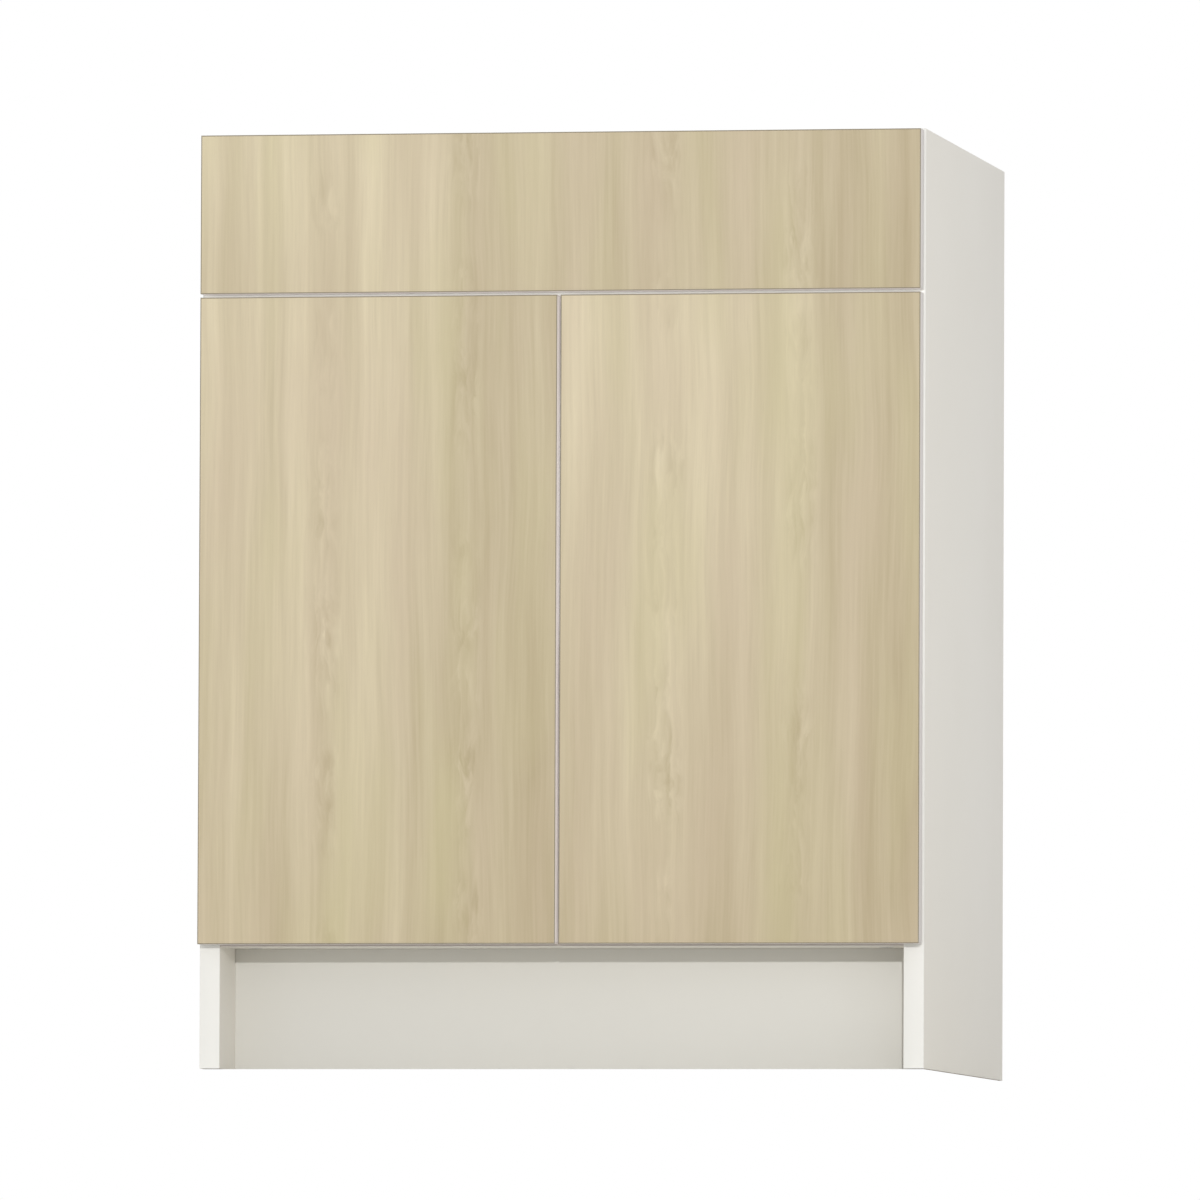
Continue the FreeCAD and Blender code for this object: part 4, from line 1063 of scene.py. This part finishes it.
@dataclass
class Bands:
    """The plastic bands glued round the boards, with their long edges rounded, and painted shade on the fronts'
    rims and on the bottom panel's band.
    """

    paints: Paints
    front_corner: float = 0.3 * MM
    case_corner: float = 0.25 * MM
    painted_shade_facing: float = 0.6
    longer: float = 15.0 * MM

    def band(self, mesh: BMesh, low: Sequence[float], high: Sequence[float], corner: float) -> None:
        """Add one band.

        Args:
            mesh: The mesh.
            low: Its lowest corner.
            high: Its highest corner.
            corner: The rounding of its long edges.
        """
        low, high = Vector(low), Vector(high)
        turn = Matrix.Translation((low + high) / 2) @ Matrix.Diagonal((*(high - low), 1))
        corners = bmesh.ops.create_cube(mesh, size=1, matrix=turn)["verts"]
        edges = [edge for edge in mesh.edges
                 if all(end in corners for end in edge.verts) and edge.calc_length() > self.longer]
        bevel(mesh, edges, corner, 2)

    def round_front(self, node: str, panel: str) -> None:
        """Make the four bands of one front, with a dark painted shade line on their front faces.

        Args:
            node: The bands' CAD node.
            panel: The panel that they go round.
        """
        # Painted shade: the bands' front faces take the dark rim colour, standing for the shaded arris and joint
        # round the front.
        rim = Fold(self.paints.rim, lambda normal, _: abs(normal.y) > self.painted_shade_facing)
        low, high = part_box(node)
        inner_low, inner_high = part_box(panel)
        mesh = bmesh.new()
        for z_low, z_high in ((low.z, inner_low.z), (inner_high.z, high.z)):
            self.band(mesh, (low.x, low.y, z_low), (high.x, high.y, z_high), self.front_corner)
        for x_low, x_high in ((low.x, inner_low.x), (inner_high.x, high.x)):
            self.band(mesh, (x_low, low.y, inner_low.z), (x_high, high.y, inner_high.z), self.front_corner)
        keep(mesh, f"{node}_bands", node, self.paints.band, [rim])

    def round_case(self) -> None:
        """Make the front bands of the carcass boards and of the shelf, with painted shade on the bottom panel's
        band under the doors.
        """
        mesh = bmesh.new()
        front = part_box("carcass_edging")[0].y
        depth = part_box("bottom_panel")[0].y - front
        for board in ("side_panel_left", "side_panel_right", "bottom_panel", "divider_rail",
                      "front_stretcher", "shelf"):
            low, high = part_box(board)
            self.band(mesh, (low.x, low.y - depth, low.z), (high.x, low.y, high.z), self.case_corner)
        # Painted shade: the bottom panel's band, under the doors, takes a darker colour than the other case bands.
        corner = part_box("bottom_panel")[1]
        painted_shade_band = Fold(self.paints.painted_shade_band, lambda _, spot: spot.z < corner.z and abs(spot.x) < corner.x)
        keep(mesh, "case_edge_bands", "carcass_edging", self.paints.case_band, [painted_shade_band])

    def build(self) -> None:
        """Make the bands of the three fronts and of the carcass."""
        self.round_front("drawer_front_edging", "drawer_front")
        for hand in HANDS:
            self.round_front(f"door_edging_{hand}", f"door_{hand}")
        self.round_case()


@dataclass
class Fronts:
    """The drawer's front and the two doors: oak laminate on the face, white coating behind."""

    paints: Paints
    bore_side: float = 8.0 * MM

    def build(self) -> None:
        """Make the three fronts."""
        behind = Fold(self.paints.white, lambda normal, _: normal.y > NOT_FRONT)
        for node, oak in (("drawer_front", self.paints.top_oak), ("door_left", self.paints.left_oak),
                          ("door_right", self.paints.right_oak)):
            keep_rounded(node, f"{node}_panel", oak, self.bore_side, [behind])


# The small metal and plastic pieces. Their outlines are radii and heights in shares of a bar's own sizes.


@dataclass
class Screws:
    """Pan-head screws with a thread, a low domed head and a cross recess."""

    paints: Paints
    pitch: float = 1.3 * MM
    tip: tuple[float, float] = (0.40, 0.7)
    thread: Outline = ((0.80, 0.0), (1.0, 0.40), (1.0, 0.55), (0.80, 0.95))
    neck: float = 0.97
    head: Outline = ((0.97, 1.0), (1.0, 0.7), (0.94, 0.35), (0.80, 0.1), (0.64, 0.0))
    cross_share: float = 0.50
    cross_depth: float = 1.2 * MM
    cross_taper: float = 0.5
    cross_steps: int = 24
    arm_turn: float = math.radians(15)

    def profile(self, bar: Bar) -> Outline:
        """List the radii and heights of a screw.

        Args:
            bar: The screw.

        Returns:
            Its outline, from its tip to the flat of its head.
        """
        start = bar.shank - bar.length
        points = [(0.0, -bar.length), (bar.shank * self.tip[0], start - bar.shank * self.tip[1])]
        for number in range(int((-bar.step - start) / self.pitch)):
            points += scaled(self.thread, bar.shank, start + number * self.pitch, self.pitch)
        return [*points, (bar.shank * self.neck, -bar.step), *scaled(self.head, bar.head, 0.0, -bar.step)]

    def cross_reach(self, turn: float, reach: float) -> float:
        """Return how far a cross reaches in one direction.

        Args:
            turn: The direction, as an angle.
            reach: The reach of its arms.

        Returns:
            The distance from its middle to its outline.
        """
        quarter = math.pi / 2
        fold = abs((turn + quarter / 2) % quarter - quarter / 2)
        if fold <= self.arm_turn * 1.01:
            return reach / math.cos(fold)
        return reach * math.tan(self.arm_turn) / math.sin(fold)

    def recess(self, mesh: BMesh, bar: Bar) -> None:
        """Close the flat of a head with a cross recess.

        Args:
            mesh: The mesh.
            bar: The screw.
        """
        reach = bar.head * self.cross_share
        rim, cross = (bmesh.ops.create_circle(mesh, radius=radius, segments=self.cross_steps)["verts"]
                      for radius in (bar.head * self.head[-1][0], reach))
        for corner in cross:
            corner.co *= self.cross_reach(math.atan2(corner.co.y, corner.co.x), reach) / reach
        outline = edges_at(cross)
        bmesh.ops.bridge_loops(mesh, edges=outline + edges_at(rim))
        walls = bmesh.ops.extrude_edge_only(mesh, edges=outline)["geom"]
        bottom = [part for part in walls if isinstance(part, BMVert)]
        shrink = Matrix.Diagonal((self.cross_taper, self.cross_taper, 1, 1))
        bmesh.ops.transform(mesh, matrix=Matrix.Translation((0, 0, -self.cross_depth)) @ shrink, verts=bottom)
        loop = [edge for edge in edges_at(bottom) if all(end in bottom for end in edge.verts)]
        bmesh.ops.edgeloop_fill(mesh, edges=loop)
        bmesh.ops.transform(mesh, matrix=bar.place, verts=[*rim, *cross, *bottom])

    def build(self) -> None:
        """Make every screw of the cabinet."""
        zinc, nickel = self.paints.zinc, self.paints.nickel
        for node, name, finish in (("system_screws", "plate_and_slide_screws", zinc),
                                   ("drawer_screws", "drawer_box_screws", zinc),
                                   ("latch_screws", "latch_housing_screws", zinc),
                                   ("adjusting_screws", "hinge_arm_screws", nickel)):
            mesh = bmesh.new()
            for bar in bars(node):
                lathe(mesh, self.profile(bar), bar.place)
                self.recess(mesh, bar)
            close(mesh)
            keep(mesh, name, node, finish)


@dataclass
class Fittings:
    """Cams, bolts, dowels, shelf pins and bumpers."""

    paints: Paints
    collar: float = 1.2 * MM
    chamfer: float = 0.8 * MM
    bar_side: float = 4.5 * MM
    pin_tip: Outline = ((0.0, 0.0), (0.7, 0.0), (1.0, 1.0))
    pin_collar: Outline = ((1.0, 0.0), (1.0, 1.0), (0.86, 1.2), (0.86, 1.6), (1.0, 1.8))
    pin_end: Outline = ((1.0, 1.5), (0.93, 0.6), (0.72, 0.0), (0.0, 0.0))
    dome: Outline = ((0.0, 1.0), (0.30, 1.0), (0.60, 0.97), (0.85, 0.90), (0.97, 0.78), (1.0, 0.60),
                     (1.0, 0.0), (0.0, 0.0))

    def dowel(self, bar: Bar) -> Outline:
        """List the radii and heights of a dowel with chamfered ends."""
        small = bar.head - self.chamfer
        return [(0, -bar.length), (small, -bar.length), (bar.head, self.chamfer - bar.length),
                (bar.head, -self.chamfer), (small, 0), (0, 0)]

    def shelf_pin(self, bar: Bar) -> Outline:
        """List the radii and heights of a shelf pin: a chamfered shank, a collar and a grooved head."""
        return [*scaled(self.pin_tip, bar.shank, -bar.length, self.chamfer), (bar.shank, -bar.step),
                *scaled(self.pin_collar, bar.head, -bar.step, self.collar),
                *scaled(self.pin_end, bar.head, 0.0, -self.chamfer)]

    def bumper(self, bar: Bar) -> Outline:
        """List the radii and heights of a soft domed button, whose dome is at its far end."""
        return scaled(self.dome, bar.head, 0.0, -bar.length)

    def build(self) -> None:
        """Make the fittings."""
        paints = self.paints
        keep_rounded("cam_locks", "cam_lock_discs", paints.zinc, self.bar_side)
        keep_rounded("cam_bolts", "cam_lock_bolts", paints.zinc, self.bar_side)
        keep_turned("dowels", "beech_dowels", paints.beech, self.dowel)
        keep_turned("shelf_pins", "shelf_support_pins", paints.nickel, self.shelf_pin)
        keep_turned("bumpers", "soft_bumpers", paints.rubber, self.bumper)


@dataclass
class Slides:
    """The ball-bearing slides: rolled members, thin cages and round balls.

    Bends are the rounding outside a bend, inside it, and of the lips.
    """

    paints: Paints
    member_bends: tuple[float, float, float] = (1.5 * MM, 0.5 * MM, 0.4 * MM)
    cage_bends: tuple[float, float, float] = (0.8 * MM, 0.25 * MM, 0.12 * MM)
    bend_steps: int = 3
    sharp: float = math.radians(60)
    wide: float = 2.0 * MM
    longer: float = 100.0 * MM
    hole_side: float = 3.0 * MM
    ball: float = 1.75 * MM
    ball_steps: int = 14

    def roll(self, mesh: BMesh, bend: float, inside: float, lip: float) -> None:
        """Round the long edges of a channel as rolling leaves them.

        Args:
            mesh: The channel.
            bend: The rounding outside its bends.
            inside: The rounding inside its bends.
            lip: The rounding of its lips.
        """
        for size, bent, convex in ((lip, False, True), (bend, True, True), (inside, True, False)):
            edges = [edge for edge in mesh.edges
                     if edge.calc_length() > self.longer and shape_angle(edge) > self.sharp
                     and (min(widths(edge)) > self.wide) == bent and edge.is_convex == convex]
            bevel(mesh, edges, size, self.bend_steps)

    def member(self, node: str) -> None:
        """Make one member of a slide.

        Args:
            node: Its CAD node.
        """
        mesh = copy_of(node)
        round_bars(mesh, self.hole_side)
        self.roll(mesh, *self.member_bends)
        keep(mesh, f"{node}_member", node, self.paints.zinc)

    def cage(self, node: str) -> None:
        """Make one ball cage, and its balls as a piece of their own.

        Args:
            node: The CAD node of both.
        """
        mesh = copy_of(node)
        balls = bmesh.new()
        loose = []
        for solid in islands(mesh):
            low, high = bounds_of([corner.co for corner in solid])
            if high.y - low.y < self.longer:
                bmesh.ops.create_uvsphere(balls, u_segments=self.ball_steps, v_segments=self.ball_steps // 2,
                                          radius=self.ball, matrix=Matrix.Translation((low + high) / 2))
                loose += solid
        bmesh.ops.delete(mesh, geom=loose, context="VERTS")
        self.roll(mesh, *self.cage_bends)
        keep(mesh, f"{node}_cage", node, self.paints.zinc)
        keep(balls, f"{node}_balls", node, self.paints.ball_steel)

    def build(self) -> None:
        """Make both slides."""
        for hand in HANDS:
            for part in ("outer", "middle", "inner"):
                self.member(f"slide_{part}_{hand}")
        for hand in HANDS:
            for part in ("outer", "inner"):
                self.cage(f"{part}_ball_retainer_{hand}")


@dataclass
class Latches:
    """The push-to-open latches: moulded housings and plungers with rounded tips."""

    paints: Paints
    corner: float = 0.6 * MM
    bore_side: float = 4.0 * MM
    longer: float = 8.0 * MM
    rod: float = 0.93
    rod_end: Outline = ((0.0, 0.0), (0.8, 0.0), (1.0, 0.3))
    tip: Outline = ((1.0, 0.28), (0.95, 0.13), (0.85, 0.04), (0.7, 0.0), (0.0, 0.0))

    def plunger(self, bar: Bar) -> Outline:
        """List the radii and heights of a plunger, with a soft rounded tip and room round its rod."""
        rod = bar.shank * self.rod
        return [*scaled(self.rod_end, rod, -bar.length, rod), (rod, -bar.step), (bar.head, -bar.step),
                *scaled(self.tip, bar.head, 0.0, -bar.head)]

    def build(self) -> None:
        """Make the housings and the plungers."""
        mesh = copy_of("latch_housings")
        round_bars(mesh, self.bore_side)
        round_edges(mesh, self.corner, 3, self.longer)
        keep(mesh, "latch_housing_mouldings", "latch_housings", self.paints.grey)
        for which in (*HANDS, "drawer"):
            node = f"latch_plunger_{which}"
            keep_turned(node, f"{node}_rod", self.paints.rubber, self.plunger)


@dataclass
class Hinges:
    """The concealed hinges: plates, arms with riveted pins, cups and cranked links."""

    paints: Paints
    wing_half: float = 28.0 * MM
    arm_half: float = 8.2 * MM
    pin: float = 1.2 * MM
    pin_room: float = 1.4 * MM
    inner_pin_step: tuple[float, float] = (8.13 * MM, -13.0 * MM)
    rivet: float = 0.3 * MM
    rivet_head: Outline = ((1.0, 0.0), (1.6, 0.0), (1.6, 0.4), (1.2, 1.0), (0.0, 1.0))
    rivet_steps: int = 20
    edge: float = 0.3 * MM
    longer: float = 6.0 * MM
    bore_side: float = 3.0 * MM
    cup_side: float = 8.0 * MM
    cup_share: float = 30.0

    def pins(self) -> list[Vector]:
        """List the middles of the pins that the arms carry.

        Returns:
            The middle of each pin.
        """
        low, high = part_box("hinge_cups_left")
        joint = next(row for row in frame["joints"] if row["child"] == "outer_links_left")
        across, deep = joint["pos_m"][:2]
        spots = []
        for height in (low.z + self.wing_half, high.z - self.wing_half):
            for step_x, step_y in ((0, 0), self.inner_pin_step):
                spots += [Vector((side * (across + step_x), deep + step_y, height)) for side in (1, -1)]
        return spots

    def arms(self, spots: Sequence[Vector]) -> None:
        """Make the arms, with their cheeks closed where the pins go.

        Args:
            spots: The middles of the pins.
        """
        mesh = copy_of("hinge_arms")

        def at_pin(corner: BMVert) -> bool:
            """Tell whether a corner belongs to a pin or to its hole."""
            return any((corner.co.xy - spot.xy).length < self.pin_room for spot in spots)

        loose = [face for face in mesh.faces if all(at_pin(corner) for corner in face.verts)]
        bmesh.ops.delete(mesh, geom=loose, context="FACES")
        bmesh.ops.edgeloop_fill(mesh, edges=[edge for edge in mesh.edges if edge.is_boundary])
        round_bars(mesh, self.bore_side)
        round_edges(mesh, self.edge, 2, self.longer)
        keep(mesh, "hinge_arm_channels", "hinge_arms", self.paints.nickel)

    def rivets(self, spots: Sequence[Vector]) -> None:
        """Make the pins, with a rivet head at both ends.

        Args:
            spots: Their middles.
        """
        mesh = bmesh.new()
        top = scaled(self.rivet_head, self.pin, self.arm_half, self.rivet)
        profile = [(radius, -height) for radius, height in reversed(top)] + top
        for spot in spots:
            lathe(mesh, profile, Matrix.Translation(spot), self.rivet_steps)
        close(mesh)
        keep(mesh, "hinge_arm_pins", "hinge_arms", self.paints.nickel)

    def build(self) -> None:
        """Make the four hinges."""
        nickel = self.paints.nickel
        keep_rounded("hinge_plates", "hinge_base_plates", nickel, self.bore_side)
        spots = self.pins()
        self.arms(spots)
        self.rivets(spots)
        for hand in HANDS:
            keep_rounded(f"hinge_cups_{hand}", f"hinge_cup_shells_{hand}", nickel, self.cup_side,
                         share=self.cup_share)
            keep_rounded(f"outer_links_{hand}", f"outer_link_plates_{hand}", nickel, self.bore_side)
            keep_rounded(f"inner_links_{hand}", f"inner_link_plates_{hand}", nickel, self.bore_side)


# Studio


def turned(degrees: float, axis: str) -> Matrix:
    """Return a turn about an axis."""
    return Matrix.Rotation(math.radians(degrees), 4, axis)


def put(name: str, data: bpy.types.ID, place: Matrix) -> Object:
    """Put a camera, a lamp or a floor into the scene.

    Args:
        name: Its name.
        data: What it is.
        place: Where it goes.

    Returns:
        The object.
    """
    thing = bpy.data.objects.new(name, data)
    thing.matrix_world = place
    bpy.context.scene.collection.objects.link(thing)
    return thing


@dataclass
class Studio:
    """The camera, the lights, the white surroundings and the floor."""

    spot: tuple[float, float, float] = (2.49604, -14.63442, -0.32849)
    yaw: float = 9.701
    pitch: float = 3.004
    roll: float = 0.216
    lens: float = 469.54
    sky: float = 0.69
    sun: float = 1.00
    sun_turn: float = 9.7
    sun_height: float = 8.3
    sun_width: float = 1.0
    gap_light: float = 0.55
    behind_gap_light: float = 0.50
    under_gap_light: float = 0.42
    lamp_room: float = 0.1 * MM
    floor_size: float = 14.0
    floor_drop: float = 0.5 * MM
    floor_light: Colour = screen(248, 248, 247)
    floor_dark: Colour = screen(243, 243, 242)
    floor_share: float = 0.3
    floor_roughness: float = 0.75

    def camera(self) -> None:
        """Place the camera where the photograph was taken from."""
        data = bpy.data.cameras.new("camera")
        data.sensor_width = 36
        data.lens = self.lens
        data.clip_start = 0.1
        data.clip_end = 100
        turn = turned(self.yaw, "Z") @ turned(90 + self.pitch, "X") @ turned(self.roll, "Z")
        bpy.context.scene.camera = put("camera", data, Matrix.Translation(self.spot) @ turn)

    def strip(self, name: str, spot: Sequence[float], turn: Matrix, size: tuple[float, float],
              glow: float) -> None:
        """Put a strip lamp, which no picture shows, into a gap between the fronts.

        Args:
            name: Its name.
            spot: Its middle.
            turn: How it is turned; it shines along its own -Z.
            size: Its two sides.
            glow: How bright its face is, where 1 is white.
        """
        data = bpy.data.lights.new(name, "AREA")
        data.shape = "RECTANGLE"
        data.size, data.size_y = size
        data.energy = glow * math.pi * size[0] * size[1]
        lamp = put(name, data, Matrix.Translation(spot) @ turn)
        lamp.visible_camera = False
        lamp.visible_glossy = False

    def gap_lamps(self) -> None:
        """Light the gap between the doors, and the gap over them from behind and from below."""
        low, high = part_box("door_edging_right")
        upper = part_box("drawer_front_edging")[0]
        case_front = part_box("carcass_edging")[0].y
        deep = (low.y + high.y) / 2
        self.strip("door_gap", (low.x - self.lamp_room, deep, (low.z + high.z) / 2), turned(90, "Y"),
                   (high.z - low.z, high.y - low.y), self.gap_light)
        self.strip("drawer_gap", (0, (high.y + case_front) / 2, (high.z + upper.z) / 2), turned(90, "X"),
                   (high.x * 2, upper.z - high.z), self.behind_gap_light)
        self.strip("under_drawer", (0, deep, high.z + self.lamp_room), turned(180, "X"),
                   (high.x * 2, high.y - low.y), self.under_gap_light)

    def lights(self) -> None:
        """Add the low key light in front, and the even light all round, which cameras see as white."""
        data = bpy.data.lights.new("key", "SUN")
        data.energy = self.sun
        data.angle = math.radians(self.sun_width)
        put("key", data, turned(self.sun_turn, "Z") @ turned(90 - self.sun_height, "X"))
        world = bpy.data.worlds.new("white room")
        bpy.context.scene.world = world
        room = Shader(world, "Background")
        rays = room.add("ShaderNodeLightPath")
        seen = rays.out("Is Camera Ray")
        for kind in ("Is Glossy Ray", "Is Transmission Ray"):
            seen = seen.join("MAXIMUM", seen, rays.out(kind))
        inputs = {"Value": seen, "To Min": self.sky, "To Max": 1.0}
        room.set(Color=(1.0, 1.0, 1.0), Strength=room.add("ShaderNodeMapRange", {}, inputs).out(0))

    @staticmethod
    def footprint(shader: Shader) -> Field:
        """Tell where the cabinet stands on the floor.

        Args:
            shader: The floor's material.

        Returns:
            A value of 1 within its footprint, and 0 elsewhere.
        """
        across, deep, _ = shader.split(shader.place())
        half, back = CAD_BOUNDS[1][:2]
        inside = across.size().join("LESS_THAN", across.size(), half)
        inside = inside * deep.join("GREATER_THAN", deep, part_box("carcass_edging")[0].y)
        return inside * deep.join("LESS_THAN", deep, back)

    def floor(self) -> None:
        """Lay the pale floor, which from below is white under the cabinet and clear elsewhere."""
        mesh = bmesh.new()
        bmesh.ops.create_grid(mesh, x_segments=1, y_segments=1, size=self.floor_size / 2)
        data = bpy.data.meshes.new("floor")
        mesh.to_mesh(data)
        mesh.free()
        floor = put("floor", data, Matrix.Translation((0, 0, -self.floor_drop)))
        material = bpy.data.materials.new("pale_floor")
        shader = Shader(material)
        speck = shader.noise(shader.place(), 2.0, 3.0)
        shader.set(Base_Color=shader.blend(speck * self.floor_share, self.floor_light, self.floor_dark),
                   Roughness=self.floor_roughness)
        rays = shader.add("ShaderNodeLightPath").out("Is Camera Ray")
        under = shader.add("ShaderNodeNewGeometry").out("Backfacing")
        clear = shader.add("ShaderNodeBsdfTransparent").out(0)
        paper = shader.add("ShaderNodeEmission", {}, {"Color": (1.0, 1.0, 1.0), "Strength": 1.0}).out(0)
        below = shader.add("ShaderNodeMixShader", {}, {0: self.footprint(shader), 1: clear, 2: paper}).out(0)
        above = Field(shader, shader.surface.outputs[0])
        mixed = shader.add("ShaderNodeMixShader", {}, {0: rays * under, 1: above, 2: below}).out(0)
        shader.tree.links.new(mixed.socket, shader.tree.nodes["Material Output"].inputs["Surface"])
        data.materials.append(material)

    def build(self) -> None:
        """Set up everything that isn't the cabinet."""
        bpy.context.scene.view_settings.view_transform = "Standard"
        self.camera()
        self.lights()
        self.gap_lamps()
        self.floor()


def main() -> None:
    """Build the scene, one sub-assembly after another."""
    logging.basicConfig(level=logging.INFO, format="%(name)s: %(message)s")
    Studio().build()
    paints = Paints()
    for part in (Boards, Bands, Fronts, Screws, Fittings, Slides, Latches, Hinges):
        LOG.info("making the %s", part.__name__.lower())
        part(paints).build()


if __name__ == "__main__":
    main()
